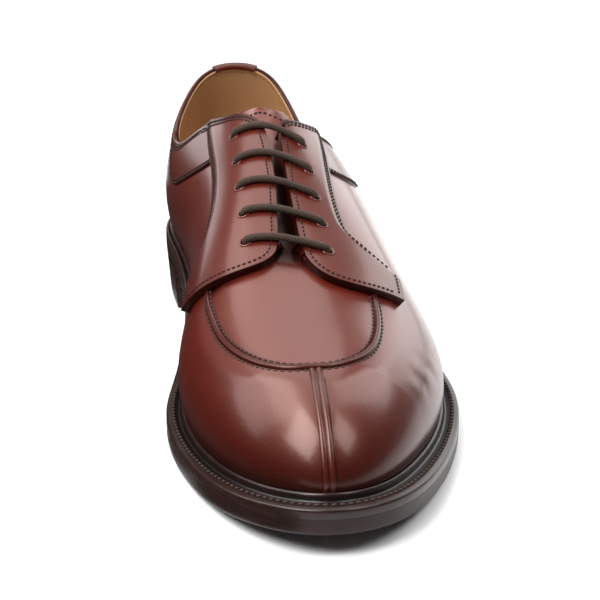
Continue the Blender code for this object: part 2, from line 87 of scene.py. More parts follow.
def soft_box(name, place, aim, width, height, watts):
    """Rectangle of soft light that the camera itself doesn't see."""
    place = Vector(place)
    turn = (Vector(aim) - place).to_track_quat("-Z", "Y").to_euler()
    bpy.ops.object.light_add(type="AREA", location=place, rotation=turn)
    light = bpy.context.active_object
    light.name = name
    light.data.shape = "RECTANGLE"
    light.data.size = width
    light.data.size_y = height
    light.data.energy = watts
    light.visible_camera = False


bpy.ops.object.camera_add(location=EYE, rotation=(AIM - EYE).to_track_quat("-Z", "Y").to_euler())
camera = bpy.context.active_object
camera.data.sensor_width = 36.0
camera.data.lens = LENS
bpy.context.scene.camera = camera
bpy.context.scene.view_settings.view_transform = "Standard"

soft_box("overhead_box", (-0.35, 0.6, 1.25), (-0.35, 0.6, 0.0), 1.9, 1.4, 17.0)
soft_box("key_box_inner", (-0.56, -0.39, 0.95), (0.0, -0.1, 0.05), 0.54, 0.68, 14.0)
soft_box("key_box_outer", (0.59, -0.32, 0.95), (0.0, -0.1, 0.05), 0.42, 0.5, 4.6)
soft_box("side_box_inner", (-0.79, 0.22, 0.8), (0.0, -0.05, 0.05), 0.58, 1.05, 6.0)
soft_box("side_box_outer", (0.78, 0.39, 0.82), (0.0, -0.05, 0.05), 0.3, 0.9, 3.2)
soft_box("rear_low_box", (-0.45, 1.5, 0.2), (0.0, 0.0, 0.05), 0.9, 0.4, 2.0)
soft_box("rear_wall_box", (0.72, 1.2, 0.42), (0.0, 0.0, 0.05), 1.2, 0.75, 6.2)

world = bpy.data.worlds.new("studio_room")
world.use_nodes = True
world.node_tree.nodes["Background"].inputs["Color"].default_value = linear("#ffffff")
world.node_tree.nodes["Background"].inputs["Strength"].default_value = 0.1
bpy.context.scene.world = world

bpy.ops.mesh.primitive_plane_add(size=12.0)
floor = bpy.context.active_object
floor.name = "paper_floor"
# Coated white paper: matt, with a faint sheen that mirrors the sole close to it.
paper, paper_tree, paper_shader = new_material("coated_paper", {
    "Roughness": 0.22,
    "Specular IOR Level": 0.4,
})
paper_at = add_node(paper_tree, "TexCoord").outputs["Object"]
pulp = add_node(paper_tree, "TexNoise", {"Scale": 1000 / 45, "Detail": 3.0}, {"Vector": paper_at})
shade = add_node(paper_tree, "Mix", {6: linear("#f6f6f6"), 7: linear(PAPER_WHITE)}, {0: pulp.outputs["Fac"]},
                 data_type="RGBA")
paper_tree.links.new(shade.outputs[2], paper_shader.inputs["Base Color"])
floor.data.materials.append(paper)

# A low dark card beside the inner side, with a foot that follows the sole, seen by reflections alone: it stands
# in for shade on that side, a dark reflection that keeps that wall and the sole's edge deep in tone.
CARD_FOOT = [(-0.03, 0.3), (-0.03, 0.16), (-0.055, 0.13), (-0.0505, 0.03), (-0.059, -0.05), (-0.054, -0.095),
             (-0.038, -0.135), (-0.02, -0.156), (-0.05, -0.185), (-0.105, -0.185), (-0.105, 0.3)]
CARD_HEIGHT = {"toe": 0.04, "heel": 0.075}
bpy.ops.mesh.primitive_cube_add(size=2.0)
card = bpy.context.active_object
card.name = "dark_card"
for vertex in card.data.vertices:
    top = CARD_HEIGHT["heel" if vertex.co.y > 0 else "toe"]
    vertex.co = (-0.105 + 0.006 * vertex.co.x, 0.05 + 0.25 * vertex.co.y, top if vertex.co.z > 0 else 0.0)
bpy.ops.mesh.primitive_circle_add(vertices=len(CARD_FOOT), fill_type="NGON")
foot = bpy.context.active_object
for vertex, (x, y) in zip(foot.data.vertices, CARD_FOOT):
    vertex.co = (x, y, 0.0008)
card.select_set(True)
bpy.context.view_layer.objects.active = card
bpy.ops.object.join()
bpy.ops.object.transform_apply(location=True, rotation=True, scale=True)
card_board, card_tree, card_shader = new_material("black_card", {"Base Color": linear("#1c0b09"), "Roughness": 0.9})
card.data.materials.append(card_board)
card.visible_camera = False
card.visible_diffuse = False
card.visible_shadow = False
card.visible_transmission = False


# Footbed
# The insole that the upper is lasted to, covered with undyed tan lining leather. It lies on the
# outsole inside the upper and shows only through the collar.
OUTLINE = np.array([
    (-17.5, 0.0), (-41.0, 8.0), (-52.5, 36.0), (-49.5, 80.0), (-46.5, 125.0), (-51.5, 170.0),
    (-56.5, 208.0), (-51.0, 250.0), (-34.0, 289.0), (-8.0, 308.0), (17.0, 299.5), (38.5, 267.0),
    (51.5, 230.0), (56.0, 195.0), (49.5, 150.0), (36.0, 105.0), (22.0, 65.0), (17.0, 36.0),
    (6.5, 8.0),
])
WELT_WIDTH = {
    "s":      [0.0, 40.0, 120.0, 170.0, 215.0, 250.0, 285.0, 308.0],
    "width":  [3.4, 3.4, 4.5, 6.5, 7.6, 8.6, 10.6, 11.5],
}
RIDGE = {
    "s":  [38.0, 60.0, 80.0, 110.0, 140.0, 160.0, 180.0, 200.0, 220.0, 240.0, 258.0],
    "x":  [-17.5, -15.5, -13.5, -11.0, -9.0, -8.3, -8.2, -8.0, -7.0, -6.2, -6.0],
}
HEEL_PIVOT = RIDGE["s"][0]
TOE_PIVOT = RIDGE["s"][-1]
HEEL_HEIGHT = 20.0
HEEL_LENGTH = 76.0
OUTSOLE_THICKNESS = 6.1
WELT_THICKNESS = 3.4
ARCH_END = 188.0
SPRING_START = 222.0
TOE_SPRING = 8.0
OUTSOLE_LENGTH = 308.0
FOOTBED_THICKNESS = 3.3
AROUND = 1440


def natural_cubic(xs, ys, x, slope=False):
    """Natural cubic through the rows of a table, straight beyond its ends."""
    xs = np.asarray(xs, float)
    ys = np.asarray(ys, float)
    step = np.diff(xs)
    matrix = np.eye(len(xs))
    right = np.zeros(len(xs))
    for i in range(1, len(xs) - 1):
        matrix[i, i - 1:i + 2] = step[i - 1], 2 * (step[i - 1] + step[i]), step[i]
        right[i] = 6 * ((ys[i + 1] - ys[i]) / step[i] - (ys[i] - ys[i - 1]) / step[i - 1])
    bend = np.linalg.solve(matrix, right)
    x = np.asarray(x, float)
    inside = np.clip(x, xs[0], xs[-1])
    i = np.clip(np.searchsorted(xs, inside) - 1, 0, len(xs) - 2)
    p = (inside - xs[i]) / step[i]
    q = 1 - p
    rate = (ys[i + 1] - ys[i]) / step[i]
    rate = rate + ((3 * p**2 - 1) * bend[i + 1] - (3 * q**2 - 1) * bend[i]) * step[i] / 6
    if slope:
        return rate
    value = q * ys[i] + p * ys[i + 1]
    value = value + ((q**3 - q) * bend[i] + (p**3 - p) * bend[i + 1]) * step[i]**2 / 6
    return value + rate * (x - inside)


def smooth_line(points, count):
    """Smooth open line through points, with its places evenly spread by chord."""
    points = np.asarray(points, float)
    knots = np.concatenate([[0.0], np.cumsum(np.sqrt(np.linalg.norm(np.diff(points, axis=0), axis=1)))])
    at = np.linspace(0, knots[-1], count)
    return np.stack([natural_cubic(knots, column, at) for column in points.T], 1)


def even_line(points, count):
    """The same line with its points evenly spread by length."""
    run = np.concatenate([[0.0], np.cumsum(np.linalg.norm(np.diff(points, axis=0), axis=1))])
    at = np.linspace(0, run[-1], count)
    return np.stack([np.interp(at, run, column) for column in np.asarray(points).T], 1)


thrice = smooth_line(np.vstack([OUTLINE, OUTLINE, OUTLINE, OUTLINE[:1]]), 3 * AROUND + 1)
EDGE = thrice[AROUND:2 * AROUND]
CENTRE = (EDGE.min(axis=0) + EDGE.max(axis=0)) / 2
along = np.roll(EDGE, -1, axis=0) - np.roll(EDGE, 1, axis=0)
INWARD = np.stack([along[:, 1], -along[:, 0]], 1) / np.linalg.norm(along, axis=1)[:, None]
WELT = natural_cubic(WELT_WIDTH["s"], WELT_WIDTH["width"], EDGE[:, 1])


def inset(share, extra):
    """Sole outline moved in by a share of the welt's width and an extra distance."""
    return EDGE + INWARD * (share * WELT + extra)[:, None]


def sole_bottom(s):
    """Underside of the outsole: heel seat, arch, flat tread and toe spring."""
    climb = np.clip((ARCH_END - s) / (ARCH_END - HEEL_LENGTH), 0, 1)
    spring = np.clip((s - SPRING_START) / (OUTSOLE_LENGTH - SPRING_START), 0, None)
    return HEEL_HEIGHT * climb**2 * (3 - 2 * climb) + TOE_SPRING * spring**2


def outsole_top(s):
    return sole_bottom(s) + OUTSOLE_THICKNESS


def welt_top(s):
    return outsole_top(s) + WELT_THICKNESS


def framed(x, s, z):
    """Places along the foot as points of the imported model's frame."""
    x, s, z = np.broadcast_arrays(x, s, z)
    return np.stack([x - CENTRE[0], CENTRE[1] - s, z], -1)


def pivots(plan):
    """Nearest place of the foot's middle line that a plan point is reached from."""
    s = np.clip(plan[..., 1], HEEL_PIVOT, TOE_PIVOT)
    return np.stack([natural_cubic(RIDGE["s"], RIDGE["x"], s), s], -1)


def shared_middle(plan):
    """The same places of the middle line from both sides, so that two halves meet in one row of points."""
    s = np.clip(np.round(plan[..., 1] / 4.0) * 4.0, HEEL_PIVOT, TOE_PIVOT)
    return np.stack([natural_cubic(RIDGE["s"], RIDGE["x"], s), s], -1)


def lay_grid(name, points, closed=False, burnish_and_shade=0.0):
    """Grid whose columns and rows are laid on the given points, each darkened as far as it says: rubbing and painted
    shade.
    """
    columns = len(points) - (0 if closed else 1)
    rows = points.shape[1] - 1
    bpy.ops.mesh.primitive_grid_add(x_subdivisions=columns, y_subdivisions=rows, size=2.0)
    piece = bpy.context.active_object
    piece.name = name
    piece.data.name = name
    flat = np.empty(len(piece.data.vertices) * 3)
    piece.data.vertices.foreach_get("co", flat)
    flat = flat.reshape(-1, 3)
    column = np.rint((flat[:, 0] + 1) / 2 * columns).astype(int) % len(points)
    row = np.rint((flat[:, 1] + 1) / 2 * rows).astype(int)
    piece.data.vertices.foreach_set("co", (points[column, row] * MM).ravel())
    layer = piece.data.attributes.new("burnish_and_shade", "FLOAT", "POINT")
    layer.data.foreach_set("value", np.broadcast_to(burnish_and_shade, points.shape[:2])[column, row].astype(float))
    bpy.ops.object.mode_set(mode="EDIT")
    bpy.ops.mesh.select_all(action="SELECT")
    bpy.ops.mesh.remove_doubles(threshold=1e-6)
    bpy.ops.object.mode_set(mode="OBJECT")
    bpy.ops.object.shade_smooth()
    return piece


def finish_piece(piece, material, slot, *nodes):
    """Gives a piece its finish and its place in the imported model."""
    piece.data.materials.clear()
    for each in material if isinstance(material, list) else [material]:
        piece.data.materials.append(each)
    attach(piece, "root")
    if nodes:
        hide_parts(*nodes)
    bpy.ops.object.select_all(action="DESELECT")


def lining_leather():
    """Vegetable-tanned lining calf, undyed: a dry tan skin with fine pores and soft cloudy tone."""
    material, tree, shader = new_material("tan_lining_leather", {
        "Roughness": 0.62,
        "Specular IOR Level": 0.3,
    })
    at = add_node(tree, "TexCoord").outputs["Object"]
    cloud = add_node(tree, "TexNoise", {"Scale": 1000 / 22, "Detail": 4.0}, {"Vector": at})
    tone = add_node(tree, "Mix", {6: linear("#a1744c"), 7: linear("#bf946a")}, {0: cloud.outputs["Fac"]},
                    data_type="RGBA")
    pore = add_node(tree, "TexNoise", {"Scale": 1000 / 0.9, "Detail": 3.0}, {"Vector": at})
    bump = add_node(tree, "Bump", {"Strength": 0.5, "Distance": 0.12 * MM}, {"Height": pore.outputs["Fac"]})
    tree.links.new(tone.outputs[2], shader.inputs["Base Color"])
    tree.links.new(bump.outputs["Normal"], shader.inputs["Normal"])
    return material


LINING = lining_leather()
bed_edge = inset(1.0, 2.9)[::4]
bed_middle = shared_middle(bed_edge)
bed_rows = []
for share, drop in ((1.0, FOOTBED_THICKNESS), (1.0, 0.8), (0.992, 0.2), (0.97, 0.0), (0.9, 0.05), (0.75, 0.25),
                    (0.5, 0.4), (0.25, 0.45), (0.0, 0.45)):
    plan = bed_middle + (bed_edge - bed_middle) * share
    bed_rows.append(framed(plan[:, 0], plan[:, 1], outsole_top(plan[:, 1]) + FOOTBED_THICKNESS - drop))
footbed = lay_grid("footbed", np.stack(bed_rows, 1), closed=True)
finish_piece(footbed, LINING, "lining_leather", "insole")


# Lining
# Tan lining leather glued inside the upper from the topline down to the footbed. Its top edge is
# turned over in a narrow band and sewn, which leaves a light rim under the dark edge of the calf.
SECTIONS = {
    "crown":        [142.0, 129.0, 118.0, 103.0, 91.0, 83.0, 74.0, 65.0, 58.0, 53.0, 49.0],
    "wall_inner":   [2.6, 2.6, 2.0, 1.2, 0.95, 0.88, 0.83, 0.81, 0.80, 0.80, 0.80],
    "wall_outer":   [2.4, 2.0, 1.5, 1.1, 1.0, 0.94, 0.88, 0.84, 0.82, 0.80, 0.80],
    "bulge_inner":  [5.2, 5.5, 5.0, 3.5, 3.5, 3.5, 3.8, 4.0, 3.6, 3.2, 3.0],
    "bulge_outer":  [4.4, 5.2, 6.5, 5.0, 2.0, 1.2, 1.8, 2.6, 3.0, 2.8, 2.5],
    "tilt":         [0.0, 0.06, 0.18, 0.28, 0.26, 0.25, 0.22, 0.16, 0.10, 0.05, 0.02],
}
HEEL_BACK_POWER = 1.5
COLLAR = {
    "s":      [0.0, 8.0, 20.0, 40.0, 62.0, 84.0, 100.0, 112.0, 120.0],
    "inner":  [101.0, 98.5, 86.5, 75.0, 75.0, 88.0, 93.8, 98.0, 101.0],
    "outer":  [101.0, 98.5, 86.5, 76.0, 73.5, 79.0, 86.5, 93.0, 97.8],
}
TURNED_BAND = 1.5
LINING_SLOT = 7.0
THROAT_END = 197.0
LINING_ROWS = 40
ANGLES = np.linspace(0, math.pi / 2, 241)


def section(column, s):
    return natural_cubic(RIDGE["s"], SECTIONS[column], s)


def skin(feather, angle):
    """Outside of the last over feather points, by wall angle: 0 at the sole, pi/2 at the ridge."""
    middle = pivots(feather)
    away = feather - middle
    reach = np.hypot(away[..., 0], away[..., 1])
    way_x = away[..., 0] / reach
    way_s = away[..., 1] / reach
    s = middle[..., 1]
    outer = (1 + way_x) / 2
    power = section("wall_inner", s) * (1 - outer) + section("wall_outer", s) * outer
    power = np.where(way_s < 0, power + (HEEL_BACK_POWER - power) * way_s**2, power)
    bulge = section("bulge_inner", s) * (1 - outer) + section("bulge_outer", s) * outer
    crown = section("crown", s)
    fall = natural_cubic(RIDGE["s"], SECTIONS["crown"], s, slope=True) * way_s
    lift = np.sin(angle)
    lean = np.maximum(np.cos(angle), 0.0)
    out = reach * lean**power + bulge * 27 / 4 * lift * (1 - lift)**2
    z = crown + fall * out - (crown + fall * reach - welt_top(feather[..., 1])) * (1 - lift)
    z = z - section("tilt", s) * way_x * out * lift**2
    return framed(middle[..., 0] + way_x * out, s + way_s * out, z)


def walls(feather):
    """The whole wall over each feather point, from the sole to the ridge."""
    return skin(feather[:, None, :], ANGLES[None, :])


def run_of(lines):
    """Length along each line up to each of its points."""
    steps = np.linalg.norm(np.diff(lines, axis=1), axis=2)
    return np.concatenate([np.zeros((len(lines), 1)), np.cumsum(steps, axis=1)], axis=1)


def along_lines(lines, run, distance):
    """The point at a distance along each line."""
    after = np.clip((run < distance[:, None]).sum(axis=1), 1, run.shape[1] - 1)
    row = np.arange(len(lines))
    share = (distance - run[row, after - 1]) / (run[row, after] - run[row, after - 1])
    return lines[row, after - 1] + (lines[row, after] - lines[row, after - 1]) * share[:, None]


def first_run(run, values):
    """Length along each line at which a value first turns positive."""
    after = np.maximum(np.argmax(values > 0, axis=1), 1)
    row = np.arange(len(run))
    low = values[row, after - 1]
    high = values[row, after]
    share = np.clip(-low / (high - low), 0, 1)
    return run[row, after - 1] + (run[row, after] - run[row, after - 1]) * share


def collar_height(points):
    """Height of the topline beside points of the wall."""
    s = CENTRE[1] - points[..., 1]
    outer = points[..., 0] + CENTRE[0] > natural_cubic(RIDGE["s"], RIDGE["x"], s)
    heights = [natural_cubic(COLLAR["s"], COLLAR[side], s) for side in ("inner", "outer")]
    return np.where(outer, heights[1], heights[0])


def out_normals(points, closed=False):
    """Unit normals of a laid grid, away from the foot."""
    if closed:
        around = np.roll(points, -1, axis=0) - np.roll(points, 1, axis=0)
    else:
        around = np.gradient(points, axis=0)
    normals = np.cross(around, np.gradient(points, axis=1))
    return normals / np.maximum(np.linalg.norm(normals, axis=2, keepdims=True), 1e-9)


lining_feather = inset(1.0, 0.0)[::4]
lining_wall = walls(lining_feather)
lining_run = run_of(lining_wall)
station = np.clip(lining_feather[:, 1], HEEL_PIVOT, TOE_PIVOT)
from_ridge = lining_run[:, -1:] - lining_run
over = lining_wall[..., 2] - collar_height(lining_wall)
over = np.maximum(over, np.where(station[:, None] < THROAT_END, LINING_SLOT, 2.5) - from_ridge)
over[:, -1] = 1.0
lining_cut = first_run(lining_run, over)
rows = [(0.45, 1.9), (0.4, 2.1), (0.45, 2.4), (0.6, 2.6), (0.9, 2.65), (1.2, 2.6), (TURNED_BAND, 2.5),
        (TURNED_BAND + 0.3, 2.4), (3.0, 2.4)]
deep = np.linspace(0, 1, LINING_ROWS + 1)[1:]
far = [below + 0.0 * lining_cut for below, depth in rows]
far += [rows[-1][0] + (lining_cut - rows[-1][0]) * k for k in deep]
lining_points = np.stack([along_lines(lining_wall, lining_run, lining_cut - below) for below in far], 1)
lining_normal = -out_normals(lining_points, closed=True)
lining_normal[:, :4] = lining_normal[:, 4:5]
lining_depth = np.array([depth for below, depth in rows] + [rows[-1][1]] * LINING_ROWS)
lining = lay_grid("lining", lining_points - lining_normal * lining_depth[:, None], closed=True)
finish_piece(lining, LINING, "lining_leather")


# Vamp and quarters
# One wall of polished oxblood calf, lasted over the foot from the welt up to the apron seam, under
# the facings and round the collar, where its edge is rolled in over the lining.
SEAM = [
    (-30.9, 96.0), (-31.3, 130.0), (-33.9, 165.0), (-37.5, 185.0), (-39.7, 201.5), (-39.0, 212.5),
    (-36.6, 226.0), (-32.0, 239.5), (-25.0, 252.0), (-16.0, 260.3), (-6.0, 262.0), (3.0, 259.8),
    (10.5, 253.8), (16.2, 244.8), (19.9, 233.0), (21.6, 221.5), (22.0, 208.0), (19.7, 195.0),
    (13.8, 180.0), (10.2, 165.0), (7.6, 130.0), (6.4, 96.0),
]
CREASES = {
    "along":   [(231.5, 229.5), (245.0, 242.5), (214.0, 221.0), (222.0, 230.0)],
    "height":  [(37.5, 27.5), (37.5, 28.5), (38.0, 24.0), (38.0, 26.0)],
    "outer":   [True, True, False, False],
    "depth":   [0.15, 0.13, 0.14, 0.1],
}
CREASE_WIDTH = 3.4
WALL_ROWS = 66
SEAM_ROLL = 0.35
CALF_RED = "#4b120a"
CALF_LIGHT = "#5b1a0f"
# Darkest calf: the colour of rubbed edges and of painted shade.
CALF_DARK = "#1c0806"


def polished_calf():
    """Aniline-dyed box calf, brushed and waxed: a tight fine grain under a clear soft shine."""
    material, tree, shader = new_material("polished_oxblood_calf", {
        "Roughness": 0.33,
        "Specular Tint": linear("#ffc4ae"),
        "Coat Roughness": 0.17,
    })
    at = add_node(tree, "TexCoord").outputs["Object"]
    rub_and_shade = add_node(tree, "Attribute", attribute_name="burnish_and_shade")
    # Rubbed edges, and painted shade in grooves, low walls and under other pieces, are dulled and darkened.
    sheen = add_node(tree, "MapRange", {"To Min": 0.74, "To Max": 0.12}, {"Value": rub_and_shade.outputs["Fac"]})
    wax = add_node(tree, "MapRange", {"To Min": 0.52, "To Max": 0.04}, {"Value": rub_and_shade.outputs["Fac"]})
    tree.links.new(sheen.outputs["Result"], shader.inputs["Specular IOR Level"])
    tree.links.new(wax.outputs["Result"], shader.inputs["Coat Weight"])
    cloud = add_node(tree, "TexNoise", {"Scale": 1000 / 38, "Detail": 5.0, "Roughness": 0.55}, {"Vector": at})
    tone = add_node(tree, "Mix", {6: linear(CALF_RED), 7: linear(CALF_LIGHT)}, {0: cloud.outputs["Fac"]},
                    data_type="RGBA")
    dyed_and_shaded = add_node(tree, "Mix", {7: linear(CALF_DARK)}, {0: rub_and_shade.outputs["Fac"], 6: tone.outputs[2]},
                    data_type="RGBA")
    # Pores are drawn at 1.1 mm, coarser than real calf, to show in the picture.
    pore = add_node(tree, "TexVoronoi", {"Scale": 1000 / 1.1}, {"Vector": at}, feature="SMOOTH_F1")
    fold = add_node(tree, "TexNoise", {"Scale": 1000 / 5.0, "Detail": 4.0, "Roughness": 0.6}, {"Vector": at})
    grain = add_node(tree, "Bump", {"Strength": 0.45, "Distance": 0.06 * MM}, {"Height": pore.outputs["Distance"]})
    soft = add_node(tree, "Bump", {"Strength": 0.5, "Distance": 0.1 * MM},
                    {"Height": fold.outputs["Fac"], "Normal": grain.outputs["Normal"]})
    tree.links.new(dyed_and_shaded.outputs[2], shader.inputs["Base Color"])
    tree.links.new(soft.outputs["Normal"], shader.inputs["Normal"])
    return material


CALF = polished_calf()
FEATHER = inset(1.0, 0.0)
TOE = int(np.argmax(FEATHER[:, 1]))
inner_feather = FEATHER[:TOE + 1]
outer_feather = FEATHER[TOE:][::-1]


def last_points(s, w):
    """Points of the last at a distance w over the leather from the ridge, outer side positive."""
    s, w = (np.asarray(v, float).ravel() for v in np.broadcast_arrays(s, w))
    x = np.where(w < 0, np.interp(s, inner_feather[:, 1], inner_feather[:, 0]),
                 np.interp(s, outer_feather[:, 1], outer_feather[:, 0]))
    lines = walls(np.stack([x, s], 1))
    run = run_of(lines)
    return along_lines(lines, run, run[:, -1] - np.abs(w))


def plan_of(points):
    return np.stack([points[:, 0] + CENTRE[0], CENTRE[1] - points[:, 1]], 1)


seam_line = even_line(smooth_line(SEAM, 900), 900)
front = int(np.argmax(seam_line[:, 1]))
rising = seam_line[:front]
falling = seam_line[front:][::-1]

wall_feather = FEATHER[::2]
wall_lines = walls(wall_feather)
wall_run = run_of(wall_lines)
wall_middle = pivots(wall_feather)
wall_away = wall_feather - wall_middle
wall_side = wall_away[:, 0] > 0
line_x = np.where(wall_side, np.interp(wall_middle[:, 1], falling[:, 1], falling[:, 0]),
                  np.interp(wall_middle[:, 1], rising[:, 1], rising[:, 0]))
line_reach = np.abs(line_x - wall_middle[:, 0])
fan = seam_line[seam_line[:, 1] > TOE_PIVOT] - (RIDGE["x"][-1], TOE_PIVOT)
fan_turn = np.arctan2(fan[:, 0], fan[:, 1])
in_fan = wall_feather[:, 1] > TOE_PIVOT
turn = np.arctan2(wall_away[:, 0], wall_away[:, 1])
line_reach = np.where(in_fan, np.interp(turn, fan_turn, np.hypot(fan[:, 0], fan[:, 1])), line_reach)
wall_out = np.hypot(wall_lines[..., 0] - (wall_middle[:, 0] - CENTRE[0])[:, None],
                    wall_lines[..., 1] - (CENTRE[1] - wall_middle[:, 1])[:, None])
past = np.where(wall_middle[:, 1:] > 97.0, line_reach[:, None] - wall_out, -1.0)
past = np.maximum(past, wall_lines[..., 2] - collar_height(wall_lines))
past[:, -1] = 1.0
wall_cut = first_run(wall_run, past)
wall_rows = [along_lines(wall_lines, wall_run, wall_cut * k / WALL_ROWS) for k in range(WALL_ROWS + 1)]
wall_points = np.stack(wall_rows, 1)
wall_normal = out_normals(wall_points, closed=True)
to_cut = wall_cut[:, None] * (1 - np.arange(WALL_ROWS + 1) / WALL_ROWS)
at_seam = np.clip((wall_feather[:, 1:] - 196) / 12, 0, 1)
wall_points = wall_points + wall_normal * (at_seam * SEAM_ROLL * np.exp(-((to_cut - 7.5) / 5.0)**2))[..., None]
wall_normal = out_normals(wall_points, closed=True)
wall_s = CENTRE[1] - wall_points[..., 1]
for along, height, outer, depth in zip(*CREASES.values()):
    start = np.array([along[0], height[0]])
    run = np.array([along[1], height[1]]) - start
    length = np.linalg.norm(run)
    from_start = np.stack([wall_s, wall_points[..., 2]], -1) - start
    share = (from_start @ run) / length**2
    off = (from_start[..., 0] * run[1] - from_start[..., 1] * run[0]) / length / CREASE_WIDTH
    fade = np.exp(-np.clip(np.abs(share - 0.5) - 0.25, 0, None)**2 * 12) * (wall_side == outer)[:, None]
    fold = 0.6 * np.exp(-(off - 1.7)**2) + 0.4 * np.exp(-(off + 1.7)**2) - np.exp(-off**2)
    wall_points = wall_points + wall_normal * (depth * fold * fade)[..., None]
wall_normal = out_normals(wall_points, closed=True)
up = wall_points[:, -1] - wall_points[:, -2]
up /= np.linalg.norm(up, axis=1)[:, None]
top = wall_points[:, -1]
top_normal = wall_normal[:, -1]
skirt = wall_points[:, 0].copy()
skirt[:, 2] -= WELT_THICKNESS - 0.3
rolled = [top + up * rise - top_normal * sunk
          for rise, sunk in ((0.2, 0.12), (0.42, 0.5), (0.5, 1.0), (0.42, 1.6), (0.0, 2.0))]
upper_points = np.concatenate([skirt[:, None], wall_points, np.stack(rolled, 1)], axis=1)
# Darkness of the wall: painted shade over the lowest 40 mm above the welt, with some antiqued dye in it, and in a
# narrow band along the apron seam; a rubbed band under the topline; the skirt under the welt fully dark; and a roll
# that darkens as it turns in over the lining, the cut edge with painted shade.
above_welt = np.clip((wall_points[..., 2] - welt_top(wall_feather[:, 1])[:, None]) / 40.0, 0, 1)
shade_and_edge_tone = 0.85 * (1 - above_welt)**1.1
shade_and_edge_tone = np.maximum(shade_and_edge_tone, at_seam * 0.5 * np.exp(-(to_cut / 2.6)**2))
at_collar = wall_middle[:, 1:] < 97.0
shade_and_edge_tone = np.maximum(shade_and_edge_tone, at_collar * 0.7 * np.clip(3.9 - to_cut, 0, 1))
shade_and_edge_tone = np.concatenate([np.ones((len(shade_and_edge_tone), 1)), shade_and_edge_tone, np.tile([0.35, 0.5, 0.8, 0.9, 0.9], (len(shade_and_edge_tone), 1))], axis=1)
upper = lay_grid("vamp_and_quarters", upper_points, closed=True, burnish_and_shade=shade_and_edge_tone)
finish_piece(upper, CALF, "upper_leather", "upper")


# Apron
# The raised front panel of the same calf, butted inside the apron seam. Its rear end dips under
# the facings, where it runs on as the tongue.
APRON_REAR = 182.0
APRON_ROWS = 110
APRON_COLUMNS = 72


def over_plan(x, s):
    """Points of the last's upper side over places in plan."""
    plan = np.stack(np.broadcast_arrays(np.asarray(x, float), np.asarray(s, float)), -1).reshape(-1, 2)
    middle = pivots(plan)
    away = plan - middle
    reach = np.hypot(away[:, 0], away[:, 1])
    side = np.where(away[:, 0] < 0, np.interp(plan[:, 1], inner_feather[:, 1], inner_feather[:, 0]),
                    np.interp(plan[:, 1], outer_feather[:, 1], outer_feather[:, 0]))
    feather = np.stack([side, plan[:, 1]], 1)
    toe = FEATHER[FEATHER[:, 1] > TOE_PIVOT]
    toe_away = toe - (RIDGE["x"][-1], TOE_PIVOT)
    order = np.argsort(np.arctan2(toe_away[:, 0], toe_away[:, 1]))
    turns = np.arctan2(toe_away[:, 0], toe_away[:, 1])[order]
    at = np.arctan2(away[:, 0], away[:, 1])
    ahead = plan[:, 1] > TOE_PIVOT
    for column in (0, 1):
        feather[:, column] = np.where(ahead, np.interp(at, turns, toe[order, column]), feather[:, column])
    low = np.full(len(plan), 0.45)
    high = np.full(len(plan), math.pi / 2)
    for _ in range(36):
        mid = (low + high) / 2
        points = skin(feather, mid)
        out = np.hypot(points[:, 0] + CENTRE[0] - middle[:, 0], CENTRE[1] - points[:, 1] - middle[:, 1])
        low = np.where(out > reach, mid, low)
        high = np.where(out > reach, high, mid)
    return skin(feather, (low + high) / 2)


def plan_normals(x, s):
    """Unit normals of the last's upper side over places in plan."""
    across = over_plan(x + 0.6, s) - over_plan(x - 0.6, s)
    back = over_plan(x, s - 0.6) - over_plan(x, s + 0.6)
    normals = np.cross(across, back)
    return normals / np.linalg.norm(normals, axis=1)[:, None]


apron_inner = even_line(rising[rising[:, 1] > APRON_REAR][::-1], APRON_ROWS + 1)
apron_outer = even_line(falling[falling[:, 1] > APRON_REAR][::-1], APRON_ROWS + 1)
apron_inner[0] = apron_outer[0] = seam_line[front]
share = np.linspace(0, 1, APRON_COLUMNS + 1)[:, None, None]
apron_plan = apron_inner[None] * (1 - share) + apron_outer[None] * share
apron_x = apron_plan[..., 0].ravel()
apron_s = apron_plan[..., 1].ravel()
dip = np.clip((206 - apron_s) / 24, 0, 1)
apron_points = over_plan(apron_x, apron_s) - plan_normals(apron_x, apron_s) * (3.4 * dip**2 * (3 - 2 * dip))[:, None]
inner_gap = np.linalg.norm(apron_plan - apron_inner[None], axis=2)
outer_gap = np.linalg.norm(apron_plan - apron_outer[None], axis=2)
front_gap = np.linalg.norm(apron_plan - seam_line[front], axis=2)
to_seam = np.minimum(np.minimum(inner_gap, outer_gap), front_gap)
# Painted shade: darker close to the seam and, strongly, at the rear end where the apron runs under the facings.
apron_shade = np.maximum(0.45 * np.exp(-(to_seam / 2.4)**2), 0.95 * np.clip((207 - apron_plan[..., 1]) / 9, 0, 1))
apron = lay_grid("apron", apron_points.reshape(apron_plan.shape[:2] + (3,)), burnish_and_shade=apron_shade)
finish_piece(apron, CALF, "upper_leather")


# Apron seam
# The hand-sewn ridge where apron and vamp are drawn up against each other: one narrow round fold
# with a fine crease along its top, between two pressed grooves that hold the stitches.
RIDGE_REAR = 186.0
# The third value darkens and dulls the calf: painted shade in the two grooves, and a rubbed, darker ridge.
APRON_RIDGE = [(-2.6, -0.3, 0.6), (-2.15, -0.16, 1.0), (-1.6, -0.08, 1.0), (-1.3, 0.3, 0.8), (-0.95, 0.78, 0.65),
               (-0.45, 1.05, 0.5), (-0.05, 1.02, 0.55), (0.2, 0.9, 0.8), (0.45, 1.02, 0.5), (0.85, 0.85, 0.5),
               (1.2, 0.4, 0.7), (1.5, -0.05, 1.0), (2.05, -0.14, 1.0), (2.5, -0.3, 0.6)]


